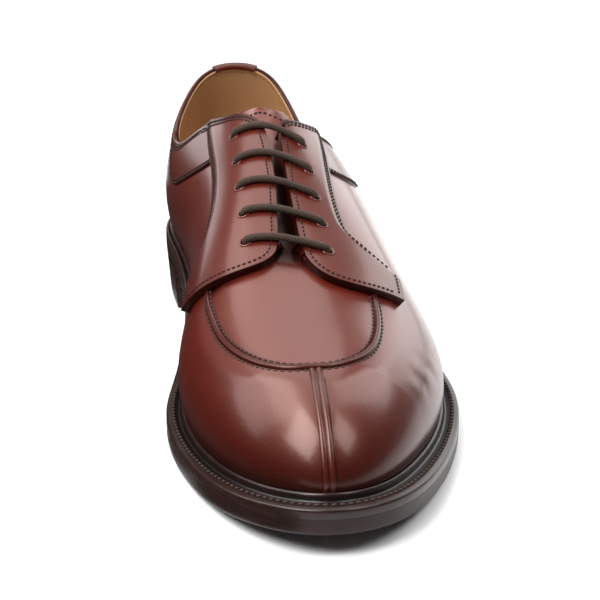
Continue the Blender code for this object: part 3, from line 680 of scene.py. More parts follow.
def strip(name, path, normals, profile):
    """Moulding along a path, from (across, up, darkness) points of its section: rubbing and painted shade."""
    ahead = np.gradient(path, axis=0)
    across = np.cross(normals, ahead)
    across /= np.linalg.norm(across, axis=1)[:, None]
    rows = [path + across * a + normals * u for a, u, dark in profile]
    return lay_grid(name, np.stack(rows, 1), burnish_and_shade=np.array([dark for a, u, dark in profile]))


ridge_plan = seam_line[(seam_line[:, 1] > RIDGE_REAR)]
ridge_plan = even_line(ridge_plan, 320)
ridge_path = over_plan(ridge_plan[:, 0], ridge_plan[:, 1])
ridge_normals = plan_normals(ridge_plan[:, 0], ridge_plan[:, 1])
apron_seam = strip("apron_seam", ridge_path, ridge_normals, APRON_RIDGE)
finish_piece(apron_seam, CALF, "upper_leather")


# Toe seam
# The split toe: the two halves of the vamp are turned in and sewn together down the middle, which
# leaves a pair of round folds from the apron to the welt.
# The third value darkens and dulls the calf: painted shade in the middle seam and the outer grooves, and darker folds.
TOE_FOLDS = [(-2.8, -0.2, 0.5), (-2.35, -0.08, 1.0), (-2.05, 0.2, 0.7), (-1.5, 0.52, 0.4), (-0.85, 0.48, 0.4),
             (-0.4, 0.22, 0.6), (-0.12, 0.0, 1.0), (0.12, 0.0, 1.0), (0.4, 0.22, 0.6), (0.85, 0.48, 0.4),
             (1.5, 0.52, 0.4), (2.05, 0.2, 0.7), (2.35, -0.08, 1.0), (2.8, -0.2, 0.5)]
toe_column = int(np.argmin(np.abs(turn - 0.03) + ~in_fan * 9.0))
toe_path = even_line(wall_points[toe_column][::-1], 70)
toe_normals = even_line(wall_normal[toe_column][::-1], 70)
toe_normals /= np.linalg.norm(toe_normals, axis=1)[:, None]
toe_seam = strip("toe_seam", toe_path, toe_normals, TOE_FOLDS)
finish_piece(toe_seam, CALF, "upper_leather")


# Collar bands
# A second layer of calf sewn round the topline on each side, from under the facing back to where
# it runs out in a curved end, with a cut and painted lower edge.
BAND_THICKNESS = 0.8
BANDS = {
    "inner": [(122.0, 84.5), (113.9, 79.0), (99.0, 70.7), (86.0, 64.2), (76.0, 59.5), (70.0, 58.3), (64.0, 59.2),
              (57.0, 62.5), (49.0, 67.5), (43.0, 71.8), (40.5, 75.0)],
    "outer": [(138.0, 84.0), (133.0, 80.4), (127.8, 76.0), (118.0, 70.3), (106.0, 65.0), (98.0, 62.5), (93.0, 62.9),
              (88.5, 67.0), (85.5, 72.0), (82.5, 78.3)],
}
# Even painted shade over the bands.
BAND_SHADE = 0.25
BAND_ROWS = 22


def side_columns(side, s):
    """Wall over one side at places along the foot, with its lengths and where its edge is cut."""
    feather = outer_feather if side == "outer" else inner_feather
    lines = walls(np.stack([np.interp(s, feather[:, 1], feather[:, 0]), s], 1))
    on_side = wall_side == (side == "outer")
    order = np.argsort(wall_feather[on_side, 1])
    cut = np.interp(s, wall_feather[on_side, 1][order], wall_cut[on_side][order])
    return lines, run_of(lines), cut


bands = []
for side, low_edge in BANDS.items():
    low_edge = smooth_line(low_edge, 200)[::-1]
    s = np.linspace(low_edge[0, 0], low_edge[-1, 0], 100)
    lines, run, cut = side_columns(side, s)
    low = first_run(run, lines[..., 2] - np.interp(s, low_edge[:, 0], low_edge[:, 1])[:, None])
    low = np.minimum(low, cut)
    flat = np.stack([along_lines(lines, run, low + (cut - low) * k / BAND_ROWS) for k in range(BAND_ROWS + 1)], 1)
    lift = np.gradient(flat, axis=1)
    normals = np.cross(np.gradient(flat, axis=0), lift)
    normals /= np.maximum(np.linalg.norm(normals, axis=2, keepdims=True), 1e-9)
    normals *= np.sign((normals * np.array([1.0 if side == "outer" else -1.0, 0.0, 0.0])).sum(2, keepdims=True).mean())
    rows = [flat[:, 0] - 0.15 * normals[:, 1], flat[:, 0] + 0.5 * BAND_THICKNESS * normals[:, 1]]
    nudge = along_lines(lines, run, np.minimum(low + 0.3, cut))
    rows.append(nudge + BAND_THICKNESS * normals[:, 1])
    rows += [flat[:, k] + BAND_THICKNESS * normals[:, k] for k in range(1, BAND_ROWS + 1)]
    rise = along_lines(lines, run, cut + 1.0) - flat[:, -1]
    edge_normal = normals[:, -2]
    rows += [flat[:, -1] + rise * r + edge_normal * h
             for r, h in ((0.35, 0.6), (0.6, 0.2), (0.65, -0.5), (0.55, -1.2), (0.3, -1.9))]
    points = np.stack(rows, 1)
    # Darkness of the band: the cut and painted lower edge, a rubbed band along both edges, even painted shade over the
    # rest, and a top roll that darkens as it turns in, the edge with painted shade.
    above_low = (cut - low)[:, None] * np.arange(1, BAND_ROWS + 1) / BAND_ROWS
    from_edge = np.minimum(above_low, (cut - low)[:, None] - above_low)
    dark = np.full(points.shape[:2], BAND_SHADE)
    dark[:, :3] = 0.95
    dark[:, 3:3 + BAND_ROWS] = np.maximum(BAND_SHADE, 0.7 * np.clip(3.9 - from_edge, 0, 1))
    dark[:, -5:] = (0.35, 0.5, 0.8, 0.9, 0.9)
    if side == "outer":
        points = points[::-1]
        dark = dark[::-1]
    band = lay_grid("collar_band_" + side, points, burnish_and_shade=dark)
    finish_piece(band, CALF, "upper_leather")
    bands.append(band)


# Back strip
# A narrow strip of calf over the seam at the back of the heel, sewn down both sides, with its top
# folded over the collar in a low tab.
STRIP_COLUMNS = 16
STRIP_HEIGHT = 0.7
back = np.arange(-STRIP_COLUMNS, STRIP_COLUMNS + 1) % len(wall_feather)
back_lines = wall_lines[back]
back_run = wall_run[back]
back_cut = wall_cut[back]
back_rows = []
swell = STRIP_HEIGHT * np.clip((STRIP_COLUMNS - np.abs(np.arange(-STRIP_COLUMNS, STRIP_COLUMNS + 1))) / 1.2, -0.15, 1)
for k in range(60):
    back_rows.append(along_lines(back_lines, back_run, 3.0 + (back_cut - 3.0) * k / 59))
back_points = np.stack(back_rows, 1)
back_normal = out_normals(back_points)
strip_points = [back_points[:, k] + back_normal[:, k] * swell[:, None] for k in range(60)]
rise = along_lines(back_lines, back_run, back_cut + 1.0) - back_points[:, -1]
for r, h in ((0.5, 0.75), (0.9, 0.5), (1.1, 0.0), (1.15, -0.8), (1.1, -1.6), (0.9, -2.5), (0.2, -3.2), (-0.8, -3.2)):
    strip_points.append(back_points[:, -1] + rise * r + back_normal[:, -1] * (h * np.ones(len(back)))[:, None])
strip_tone = np.where(np.abs(np.arange(-STRIP_COLUMNS, STRIP_COLUMNS + 1)) > STRIP_COLUMNS - 1, 0.9, 0.2)
strip_tone = np.repeat(strip_tone[:, None], len(strip_points), axis=1)
strip_tone[:, 60:] = 0.45
back_strip = lay_grid("back_strip", np.stack(strip_points, 1), burnish_and_shade=strip_tone)
finish_piece(back_strip, CALF, "upper_leather")


# Tongue
# A flap of the same calf under the throat. Its sewn top edge shows above the facings, with rounded corners.
TONGUE_TOP = 106.5
TONGUE_FRONT = 196.0
TONGUE_HALF_WIDTH = 23.0
TONGUE_SWEEP = 5.0
TONGUE_CORNER = 9.5
TONGUE_DEPTH = 3.0
TONGUE_FALL = 2.2
TONGUE_THICKNESS = 1.8

tongue_s = TONGUE_TOP + (TONGUE_FRONT - TONGUE_TOP) * np.linspace(0, 1, 90)**1.25
corner = np.clip(TONGUE_TOP + TONGUE_CORNER - tongue_s, 0, TONGUE_CORNER)
half = TONGUE_HALF_WIDTH - TONGUE_CORNER + np.sqrt(TONGUE_CORNER**2 - corner**2)
share = np.linspace(-1, 1, 47)
up = (TONGUE_FRONT - tongue_s) / (TONGUE_FRONT - TONGUE_TOP)
grid_s = (tongue_s[None] - TONGUE_SWEEP * up[None]**4 * share[:, None]**2)[:, ::-1]
grid_w = share[:, None] * half[None, ::-1]
flat = last_points(grid_s, np.where(grid_w == 0, 1e-6, grid_w)).reshape(47, 90, 3)
normals = out_normals(flat)
sunk = TONGUE_DEPTH + TONGUE_FALL * np.clip((grid_s - TONGUE_TOP) / 20, 0, 1)
tongue_points = flat - normals * sunk[..., None]
for _ in range(160):
    tongue_points[1:-1] = (tongue_points[:-2] + 2 * tongue_points[1:-1] + tongue_points[2:]) / 4
# Painted shade: below its top the tongue is darkened and dulled, down in the throat between the facings.
tongue = lay_grid("tongue_flap", tongue_points, burnish_and_shade=0.95 * np.clip((grid_s - 130) / 12, 0, 1))


def thicken(piece, thickness, bevel):
    """Gives a laid sheet its thickness inwards and rounds the cut edge."""
    bpy.context.view_layer.objects.active = piece
    piece.select_set(True)
    bpy.ops.object.modifier_add(type="SOLIDIFY")
    wall = piece.modifiers[-1]
    wall.thickness = thickness * MM
    wall.offset = -1.0
    wall.material_offset_rim = 1
    bpy.ops.object.modifier_apply(modifier=wall.name)
    bpy.ops.object.modifier_add(type="BEVEL")
    edge = piece.modifiers[-1]
    edge.width = bevel * MM
    edge.segments = 3
    edge.limit_method = "ANGLE"
    edge.angle_limit = math.radians(55)
    bpy.ops.object.modifier_apply(modifier=edge.name)
    bpy.ops.object.shade_smooth()


def edge_paint():
    """Cut edge of the calf, painted and waxed: nearly black, with a rubbed, uneven sheen."""
    material, tree, shader = new_material("painted_calf_edge", {"Roughness": 0.5, "Coat Weight": 0.08})
    at = add_node(tree, "TexCoord").outputs["Object"]
    rub = add_node(tree, "TexNoise", {"Scale": 1000 / 3.0, "Detail": 4.0}, {"Vector": at})
    tone = add_node(tree, "Mix", {6: linear("#0d0504"), 7: linear("#1f0b09")}, {0: rub.outputs["Fac"]},
                    data_type="RGBA")
    bump = add_node(tree, "Bump", {"Strength": 0.4, "Distance": 0.1 * MM}, {"Height": rub.outputs["Fac"]})
    tree.links.new(tone.outputs[2], shader.inputs["Base Color"])
    tree.links.new(bump.outputs["Normal"], shader.inputs["Normal"])
    return material


EDGE_PAINT = edge_paint()
tongue.data.materials.append(CALF)
tongue.data.materials.append(EDGE_PAINT)
thicken(tongue, TONGUE_THICKNESS, 0.5)
finish_piece(tongue, [CALF, EDGE_PAINT], "upper_leather", "tongue")


# Facings
# The two eyelet flaps of the same calf, sewn on top of the vamp and left free along the throat.
# Their thick cut edges are painted, and five holes are punched through each.
FACING_HEIGHT = 3.2
# Even painted shade over the facings.
FACING_SHADE = 0.15
FACING_THICKNESS = 3.1
EDGE_THINNED = 1.9
LOWER_BOW = 12.0
FACINGS = {
    "inner": [(194.5, 5.2, 189.0, 53.0), (187.5, 4.3, 180.5, 54.0), (181.0, 4.0, 172.0, 53.0),
              (176.5, 3.7, 167.0, 46.5), (171.0, 3.4, 161.5, 40.5), (165.0, 3.1, 154.0, 36.5),
              (155.0, 3.0, 143.0, 33.5), (142.0, 2.8, 127.0, 32.0), (130.0, 3.0, 112.0, 32.3), (0.0, 3.4, 0.0, 32.6)],
    "outer": [(195.5, 4.3, 203.5, 44.5), (190.0, 3.5, 194.5, 45.8), (184.5, 3.1, 186.0, 45.6),
              (180.5, 2.8, 182.0, 38.5), (176.0, 2.5, 180.0, 31.0), (171.0, 2.2, 175.5, 26.2),
              (161.0, 1.6, 164.0, 24.2), (146.0, 1.8, 147.0, 24.4), (132.0, 2.6, 124.0, 27.6), (0.0, 3.4, 0.0, 31.5)],
}
TOP_CORNER = {"inner": 10.0, "outer": 5.5}
FACING_GRID = (48, 140)
EYELETS = {
    "inner": [(126.7, 14.2), (144.7, 15.1), (161.4, 15.5), (177.2, 15.4), (192.0, 15.9)],
    "outer": [(132.5, 11.6), (149.8, 11.7), (165.3, 12.2), (179.7, 13.3), (194.3, 13.9)],
}
EYELET_RADIUS = 1.8


def topline_s(w):
    """Place along the foot where the topline crosses a distance from the ridge."""
    low = np.full(len(w), 80.0)
    high = np.full(len(w), 130.0)
    for _ in range(30):
        mid = (low + high) / 2
        points = last_points(mid, w)
        above = points[:, 2] > collar_height(points)
        low = np.where(above, mid, low)
        high = np.where(above, high, mid)
    return (low + high) / 2


facing_maps = {}
facings = {}
for side, table in FACINGS.items():
    sign = 1.0 if side == "outer" else -1.0
    table = np.array(table)
    at = np.linspace(0, len(table) - 1, FACING_GRID[1])
    t = np.linspace(0, 1, FACING_GRID[0])**1.3
    w_rows = np.stack([natural_cubic(np.arange(len(table)), table[:, c], at) for c in (1, 3)])
    top_w = table[-1, 1] + (table[-1, 3] - table[-1, 1]) * t
    top_s = topline_s(sign * top_w)
    turned = TOP_CORNER[side]
    short = np.clip(turned - (top_w - top_w[0]), 0, turned)
    top_s = top_s + turned - np.sqrt(turned**2 - short**2)
    table[-1, 0] = top_s[0]
    table[-1, 2] = top_s[-1]
    s_rows = np.stack([natural_cubic(np.arange(len(table)), table[:, c], at) for c in (0, 2)])
    w = w_rows[0][None] + (w_rows[1] - w_rows[0])[None] * t[:, None]
    s = s_rows[0][None] + (s_rows[1] - s_rows[0])[None] * t[:, None]
    fade = np.clip(1 - at / 3.6, 0, 1)**1.6
    s = s + LOWER_BOW * np.sin(math.pi * t**0.55)[:, None] * fade[None]
    top_bow = top_s - (top_s[0] + (top_s[-1] - top_s[0]) * t)
    s = s + top_bow[:, None] * (np.clip(at - len(table) + 4, 0, 3) / 3)[None]**2
    facing_maps[side] = np.stack([s, w], -1)
    flat = last_points(s, sign * w).reshape(s.shape + (3,))
    edges = {"all": np.concatenate([flat[0], flat[-1], flat[:, 0], flat[:, -1]]), "top": flat[4:, -1]}
    gaps = {}
    for edge, places in edges.items():
        near = KDTree(len(places))
        for k, place in enumerate(places):
            near.insert(place, k)
        near.balance()
        gaps[edge] = np.array([near.find(place)[2] for place in flat.reshape(-1, 3)]).reshape(s.shape)
    # Darkness of the facing: the cut edges and a thin dark line 1.2 mm inside them, a rubbed band under the topline,
    # painted shade that grows towards the rear edge, and an even painted shade over the whole flap.
    dark = np.maximum(0.9 * np.exp(-(gaps["all"] / 0.5)**2), 0.55 * t[:, None]**2.5)
    dark = np.maximum(dark, 0.6 * np.exp(-((gaps["all"] - 1.2) / 0.3)**2))
    dark = np.maximum(dark, 0.7 * np.clip(3.9 - gaps["top"], 0, 1))
    dark = np.maximum(dark, FACING_SHADE)
    if side == "inner":
        flat = flat[::-1]
        dark = dark[::-1]
    thin = np.clip((t[:, None] - 0.72) / 0.28, 0, 1) * np.clip((at[None] - 1.6) / 1.2, 0, 1)
    height = FACING_HEIGHT - EDGE_THINNED * thin**2 * (3 - 2 * thin)
    if side == "inner":
        height = height[::-1]
    facing = lay_grid("facing_" + side, flat + out_normals(flat) * height[..., None], burnish_and_shade=dark)
    facing.data.materials.append(CALF)
    facing.data.materials.append(EDGE_PAINT)
    thicken(facing, FACING_THICKNESS, 0.45)
    facings[side] = facing


def upright(points, normals):
    """Turns that stand a shape on a surface."""
    return [Vector(n).to_track_quat("Z", "Y").to_matrix().to_4x4() for n in normals]


def last_normals(s, w):
    """Unit normals of the last at a distance over the leather from the ridge."""
    s, w = (np.asarray(v, float).ravel() for v in np.broadcast_arrays(s, w))
    across = last_points(s, w + 0.6) - last_points(s, w - 0.6)
    back = last_points(s - 0.6, w) - last_points(s + 0.6, w)
    normals = np.cross(across, back)
    return normals / np.linalg.norm(normals, axis=1)[:, None]


eyelet_places = {}
for side, facing in facings.items():
    sign = 1.0 if side == "outer" else -1.0
    at_s, at_w = np.array(EYELETS[side]).T * [[1.0], [sign]]
    normals = last_normals(at_s, at_w)
    places = last_points(at_s, at_w) + normals * FACING_HEIGHT
    eyelet_places[side] = places, normals
    punches = []
    for place, stand in zip(places, upright(places, normals)):
        bpy.ops.mesh.primitive_cylinder_add(vertices=28, radius=EYELET_RADIUS * MM, depth=9 * MM,
                                            location=Vector(place) * MM, rotation=stand.to_euler())
        punches.append(bpy.context.active_object)
        punches[-1].data.materials.append(EDGE_PAINT)
    bpy.ops.object.select_all(action="DESELECT")
    for punch in punches:
        punch.select_set(True)
    bpy.ops.object.join()
    punch = bpy.context.active_object
    bpy.ops.object.select_all(action="DESELECT")
    bpy.context.view_layer.objects.active = facing
    facing.select_set(True)
    bpy.ops.object.modifier_add(type="BOOLEAN")
    cut = facing.modifiers[-1]
    cut.object = punch
    cut.operation = "DIFFERENCE"
    cut.solver = "EXACT"
    cut.material_mode = "TRANSFER"
    bpy.ops.object.modifier_apply(modifier=cut.name)
    bpy.data.objects.remove(punch)
    bpy.ops.object.shade_smooth_by_angle(angle=math.radians(40))
    finish_piece(facing, [CALF, EDGE_PAINT], "upper_leather", "facing_medial" if side == "inner" else "facing_lateral")


# Eyelet rims
# The leather swells in a low ring round each punched hole, where the setting tool pressed it.
RIM_RADIUS = 2.15
RIM_THICKNESS = 0.45
rims = []
for side, (places, normals) in eyelet_places.items():
    for place, stand in zip(places, upright(places, normals)):
        bpy.ops.mesh.primitive_torus_add(major_radius=RIM_RADIUS * MM, minor_radius=RIM_THICKNESS * MM,
                                         major_segments=32, minor_segments=10,
                                         location=Vector(place) * MM, rotation=stand.to_euler())
        rims.append(bpy.context.active_object)
bpy.ops.object.select_all(action="DESELECT")
for rim in rims:
    rim.select_set(True)
bpy.context.view_layer.objects.active = rims[0]
bpy.ops.object.join()
eyelet_rims = bpy.context.active_object
eyelet_rims.name = "eyelet_rims"
bpy.ops.object.transform_apply(location=True, rotation=True, scale=True)
bpy.ops.object.shade_smooth()
finish_piece(eyelet_rims, CALF, "upper_leather")


# Stitching
# Rows of dark waxed linen thread through the calf. Each stitch is one short rounded bead of thread
# pressed into the leather.
STITCH_PITCH = 2.1
STITCH_SIZE = (1.65, 0.9, 0.68)
SEAM_PITCH = 2.7
SEAM_SIZE = (2.2, 1.05, 0.85)


def waxed_thread(name, dark, light):
    """Twisted linen thread drawn through wax: a dull sheen over fine slanting plies."""
    material, tree, shader = new_material(name, {"Roughness": 0.6, "Specular IOR Level": 0.25})
    at = add_node(tree, "TexCoord").outputs["Object"]
    ply = add_node(tree, "TexNoise", {"Scale": 1000 / 0.6, "Detail": 2.0}, {"Vector": at})
    tone = add_node(tree, "Mix", {6: linear(dark), 7: linear(light)}, {0: ply.outputs["Fac"]}, data_type="RGBA")
    bump = add_node(tree, "Bump", {"Strength": 0.4, "Distance": 0.1 * MM}, {"Height": ply.outputs["Fac"]})
    tree.links.new(tone.outputs[2], shader.inputs["Base Color"])
    tree.links.new(bump.outputs["Normal"], shader.inputs["Normal"])
    return material


def ground_of(pieces):
    """Search tree over the faces of finished pieces."""
    places = []
    faces = []
    for piece in pieces:
        first = len(places)
        places += [v.co.copy() for v in piece.data.vertices]
        faces += [[first + k for k in face.vertices] for face in piece.data.polygons]
    return BVHTree.FromPolygons(places, faces)


bpy.ops.mesh.primitive_uv_sphere_add(segments=6, ring_count=4, radius=1.0)
bead = bpy.context.active_object
BEAD_POINTS = np.array([v.co for v in bead.data.vertices])
BEAD_FACES = [list(face.vertices) for face in bead.data.polygons]
bpy.data.objects.remove(bead)


def sew(name, rows, pieces, pitch, bead_size, material, slot):
    """One mesh of stitches along rows of points, laid on the pieces below."""
    ground = ground_of(pieces)
    places = []
    faces = []
    for row in rows:
        length = np.linalg.norm(np.diff(row, axis=0), axis=1).sum()
        spots = even_line(row, max(int(length / pitch), 1) + 1)
        for start, end in zip(spots[:-1], spots[1:]):
            middle, normal, face, far = ground.find_nearest(Vector((start + end) / 2) * MM)
            ahead = Vector(end - start)
            ahead = (ahead - normal * ahead.dot(normal)).normalized()
            turn = np.array([ahead, normal.cross(ahead), normal])
            first = len(places) * len(BEAD_POINTS)
            places.append(np.array(middle) / MM + 0.12 * np.array(normal) + BEAD_POINTS * bead_size / 2 @ turn)
            faces += [[first + k for k in face] for face in BEAD_FACES]
    mesh = bpy.data.meshes.new(name)
    mesh.from_pydata((np.concatenate(places) * MM).tolist(), [], faces)
    stitches = bpy.data.objects.new(name, mesh)
    bpy.context.collection.objects.link(stitches)
    bpy.context.view_layer.objects.active = stitches
    stitches.select_set(True)
    bpy.ops.object.shade_smooth()
    finish_piece(stitches, material, slot)
    return stitches


def beside(line, distance, towards):
    """A flat line moved sideways, towards a point."""
    ahead = np.gradient(line, axis=0)
    side = np.stack([ahead[:, 1], -ahead[:, 0]], 1) / np.linalg.norm(ahead, axis=1)[:, None]
    side *= np.sign((side * (np.asarray(towards) - line)).sum())
    return line + side * distance


DARK_THREAD = waxed_thread("dark_waxed_linen", "#1b0c0a", "#3a211b")
facing_rows = []
for side, grid in facing_maps.items():
    sign = 1.0 if side == "outer" else -1.0
    rows_at = np.linspace(0, len(FACINGS[side]) - 1, FACING_GRID[1])
    inside = grid.reshape(-1, 2).mean(axis=0)
    tab = rows_at < 2.2
    front_edge = even_line(np.vstack([grid[0, 1:-8][::-1], grid[:, 0]]), 160)
    back_edge = even_line(grid[-1, ~tab], 90)
    tab_edge = even_line(grid[-1, tab], 20)
    top_edge = even_line(grid[2:, -1], 40)
    flat_rows = [beside(front_edge, 2.2, inside)[:-6], beside(tab_edge, 2.2, inside)[2:-2]]
    flat_rows += [beside(back_edge, gap, inside)[2:-6] for gap in (1.2, 3.1)]
    flat_rows += [beside(top_edge, gap, inside)[1:-2] for gap in (1.3, 2.9)]
    for row in flat_rows:
        facing_rows.append(last_points(row[:, 0], sign * row[:, 1])
                           + last_normals(row[:, 0], sign * row[:, 1]) * FACING_HEIGHT)
sew("facing_stitches", facing_rows, list(facings.values()), STITCH_PITCH, STITCH_SIZE, DARK_THREAD, "lace_cord")

ridge_across = np.cross(ridge_normals, np.gradient(ridge_path, axis=0))
ridge_across /= np.linalg.norm(ridge_across, axis=1)[:, None]
seam_rows = [ridge_path + ridge_across * gap for gap in (-1.85, 1.78)]
SEAM_THREAD = waxed_thread("brown_black_waxed_linen", "#1f110e", "#4c362e")
sew("seam_stitches", seam_rows, [apron_seam], SEAM_PITCH, SEAM_SIZE, SEAM_THREAD, "lace_cord")

collar_rows = []
for side, low_edge in BANDS.items():
    low_edge = smooth_line(low_edge, 200)[::-1]
    s = np.linspace(low_edge[0, 0] + 2, low_edge[-1, 0] - 2, 80)
    lines, run, cut = side_columns(side, s)
    low = first_run(run, lines[..., 2] - np.interp(s, low_edge[:, 0], low_edge[:, 1])[:, None])
    outwards = np.array([2.0 if side == "outer" else -2.0, 0.0, 0.0])
    for gap in (1.3, 2.9):
        collar_rows.append(along_lines(lines, run, low + gap)[low + gap < cut - 4.0] + outwards)
    for gap in (1.3, 2.9):
        collar_rows.append(along_lines(lines, run, cut - gap)[(s > 84.0) & (low + gap < cut - 3.0)] + outwards)
rear = np.arange(len(wall_feather))
rear = rear[wall_feather[:, 1] < 84.0]
split = int(np.argmax(np.diff(rear))) + 1
rear = np.concatenate([rear[split:], rear[:split]])
outwards = (wall_feather - pivots(wall_feather))[rear] * [1.0, -1.0]
outwards *= 2.0 / np.linalg.norm(outwards, axis=1)[:, None]
outwards = np.column_stack([outwards, np.zeros(len(rear))])
for gap in (1.3, 2.9):
    collar_rows.append(along_lines(wall_lines[rear], wall_run[rear], wall_cut[rear] - gap) + outwards)
for columns in (3, 2 * STRIP_COLUMNS - 3):
    collar_rows.append(back_points[columns][::-1][4:])
sew("collar_stitches", collar_rows, [upper, back_strip] + bands, STITCH_PITCH, STITCH_SIZE, DARK_THREAD, "lace_cord")

top_w = np.linspace(-15, 15, 30)
top_s = TONGUE_TOP + 3.0 - TONGUE_SWEEP * (top_w / TONGUE_HALF_WIDTH)**2
sew("tongue_stitches", [last_points(top_s, top_w)], [tongue], 2.8, STITCH_SIZE, DARK_THREAD, "lace_cord")
hem = along_lines(lining_wall, lining_run, lining_cut - 2.5)[(lining_feather[:, 1] < 100.0)]
hem_split = int(np.argmax(np.linalg.norm(np.diff(hem, axis=0), axis=1))) + 1
hem = np.concatenate([hem[hem_split:], hem[:hem_split]])
hem_normal = lining_normal[:, 5][(lining_feather[:, 1] < 100.0)]
hem_normal = np.concatenate([hem_normal[hem_split:], hem_normal[:hem_split]])
TAN_THREAD = waxed_thread("tan_linen", "#7d5a38", "#a98358")
sew("lining_stitches", [hem - hem_normal * 2.7], [lining], STITCH_PITCH, (1.5, 0.5, 0.4), TAN_THREAD, "lining_leather")


# Lace
# One round waxed cotton lace, laid in five straight bars. Each bar dives into an eyelet at both ends.
LACE_RADIUS = 1.38
LACE_RIDE = FACING_HEIGHT + 0.1 + LACE_RADIUS
LACE_SINK = FACING_HEIGHT - 1.1
LACE_TURN = 1.9
BRAID_STRANDS = 8
BRAID_PITCH = 1.3


def waxed_cotton():
    """Braided cotton lace, waxed: crossed strands with a dull dark shine on their backs."""
    material, tree, shader = new_material("waxed_braided_cotton", {"Roughness": 0.55, "Specular IOR Level": 0.3,
                                                                   "Sheen Weight": 0.04})
    chart = add_node(tree, "UVMap")
    strands = []
    for lean in (1, -1):
        lay = add_node(tree, "VectorMath", {1: (BRAID_STRANDS, lean * 36 / BRAID_PITCH, 0)},
                       {0: chart.outputs["UV"]}, operation="DOT_PRODUCT")
        wave = add_node(tree, "Math", {1: math.pi}, {0: lay.outputs["Value"]}, operation="MULTIPLY")
        swell = add_node(tree, "Math", links={0: wave.outputs[0]}, operation="SINE")
        strands.append(add_node(tree, "Math", links={0: swell.outputs[0]}, operation="ABSOLUTE"))
    cross = add_node(tree, "Math", links={0: strands[0].outputs[0], 1: strands[1].outputs[0]}, operation="MULTIPLY")
    # The colour follows the braid's relief: near black in the hollows between strands and lighter on their backs,
    # painted shade and painted sheen over one brown cord.
    tone = add_node(tree, "Mix", {6: linear("#150c08"), 7: linear("#5a4231")}, {0: cross.outputs[0]},
                    data_type="RGBA")
    bump = add_node(tree, "Bump", {"Strength": 0.9, "Distance": 0.3 * MM}, {"Height": cross.outputs[0]})
    tree.links.new(tone.outputs[2], shader.inputs["Base Color"])
    tree.links.new(bump.outputs["Normal"], shader.inputs["Normal"])
    return material


COTTON = waxed_cotton()


def tube(name, path, radius, sides):
    """Round cord along a path, charted round and along."""
    ahead = np.gradient(path, axis=0)
    ahead /= np.linalg.norm(ahead, axis=1)[:, None]
    side = np.cross(ahead, (0.0, 0.35, 1.0))
    side /= np.linalg.norm(side, axis=1)[:, None]
    rise = np.cross(side, ahead)
    angle = np.linspace(0, 2 * math.pi, sides + 1)[:, None, None]
    return lay_grid(name, path[None] - radius * (np.cos(angle) * side[None] - np.sin(angle) * rise[None]))


quarter = np.linspace(0, math.pi / 2, 7)
for bar in range(5):
    (s_inner, w_inner), (s_outer, w_outer) = EYELETS["inner"][bar], EYELETS["outer"][bar]
    w = [-w_inner] + list(-w_inner + LACE_TURN * (1 - np.cos(quarter)))
    h = [LACE_SINK] + list(LACE_RIDE - LACE_TURN + LACE_TURN * np.sin(quarter))
    w += list(np.linspace(-w_inner + LACE_TURN, w_outer - LACE_TURN, 31)[1:-1])
    h += [LACE_RIDE] * 29
    w += list(w_outer - LACE_TURN * (1 - np.cos(quarter[::-1]))) + [w_outer]
    h += list(LACE_RIDE - LACE_TURN + LACE_TURN * np.sin(quarter[::-1])) + [LACE_SINK]
    w = np.array(w)
    s = np.interp(w, (-w_inner, w_outer), (s_inner, s_outer))
    path = last_points(s, w) + last_normals(s, w) * np.array(h)[:, None]
    lace = tube("lace_" + str(bar + 1), even_line(path, 60), LACE_RADIUS, 16)
    finish_piece(lace, COTTON, "lace_cord", "lace_bar_" + str(bar + 1))


# Welt
# A strip of dark leather sewn all round between upper and outsole: a round rib against the upper, a
# pressed groove, and a flat shelf whose outer edge is trimmed and set back to a soft lip.
SHELF_HEIGHT = 3.3
RIB_WIDTH = 1.7
MIN_SHELF = 1.0


def dyed_sole_leather(name, dark, light, roughness, streak, shine):
    """Vegetable-tanned sole bend, edge-inked and burnished: near black brown with rubbed streaks."""
    material, tree, shader = new_material(name, {"Roughness": roughness, "Specular IOR Level": shine})
    at = add_node(tree, "TexCoord").outputs["Object"]
    flat = add_node(tree, "Mapping", {"Scale": (1.0, 1.0, streak)}, {"Vector": at})
    fibre = add_node(tree, "TexNoise", {"Scale": 1000 / 9.0, "Detail": 6.0, "Roughness": 0.65},
                     {"Vector": flat.outputs["Vector"]})
    rub_and_shade = add_node(tree, "Attribute", attribute_name="burnish_and_shade")
    spread = add_node(tree, "MapRange", {"From Min": 0.3, "From Max": 0.72}, {"Value": fibre.outputs["Fac"]})
    tone = add_node(tree, "Mix", {6: linear(dark), 7: linear(light)}, {0: spread.outputs["Result"]}, data_type="RGBA")
    # The mask darkens towards near black: painted shade in grooves and channels, and a rubbed lip.
    inked_and_shaded = add_node(tree, "Mix", {7: linear("#120907")}, {0: rub_and_shade.outputs["Fac"], 6: tone.outputs[2]},
                     data_type="RGBA")
    bump = add_node(tree, "Bump", {"Strength": 0.6, "Distance": 0.15 * MM}, {"Height": fibre.outputs["Fac"]})
    tree.links.new(inked_and_shaded.outputs[2], shader.inputs["Base Color"])
    tree.links.new(bump.outputs["Normal"], shader.inputs["Normal"])
    return material


WELT_LEATHER = dyed_sole_leather("inked_welt_leather", "#1c0f0c", "#2e1b16", 0.3, 4.0, 0.38)
edge = EDGE[::2]
inward = INWARD[::2]
width = WELT[::2]
base = outsole_top(edge[:, 1])
rib_side = along_lines(wall_lines, wall_run, first_run(wall_run, wall_lines[..., 2] - (base + 4.4)[:, None]))
at_wall = ((plan_of(rib_side) - edge) * inward).sum(1)
rib_foot = np.maximum(at_wall - RIB_WIDTH, MIN_SHELF)
rib_across = np.maximum(at_wall + 0.5 - rib_foot, 1.3)
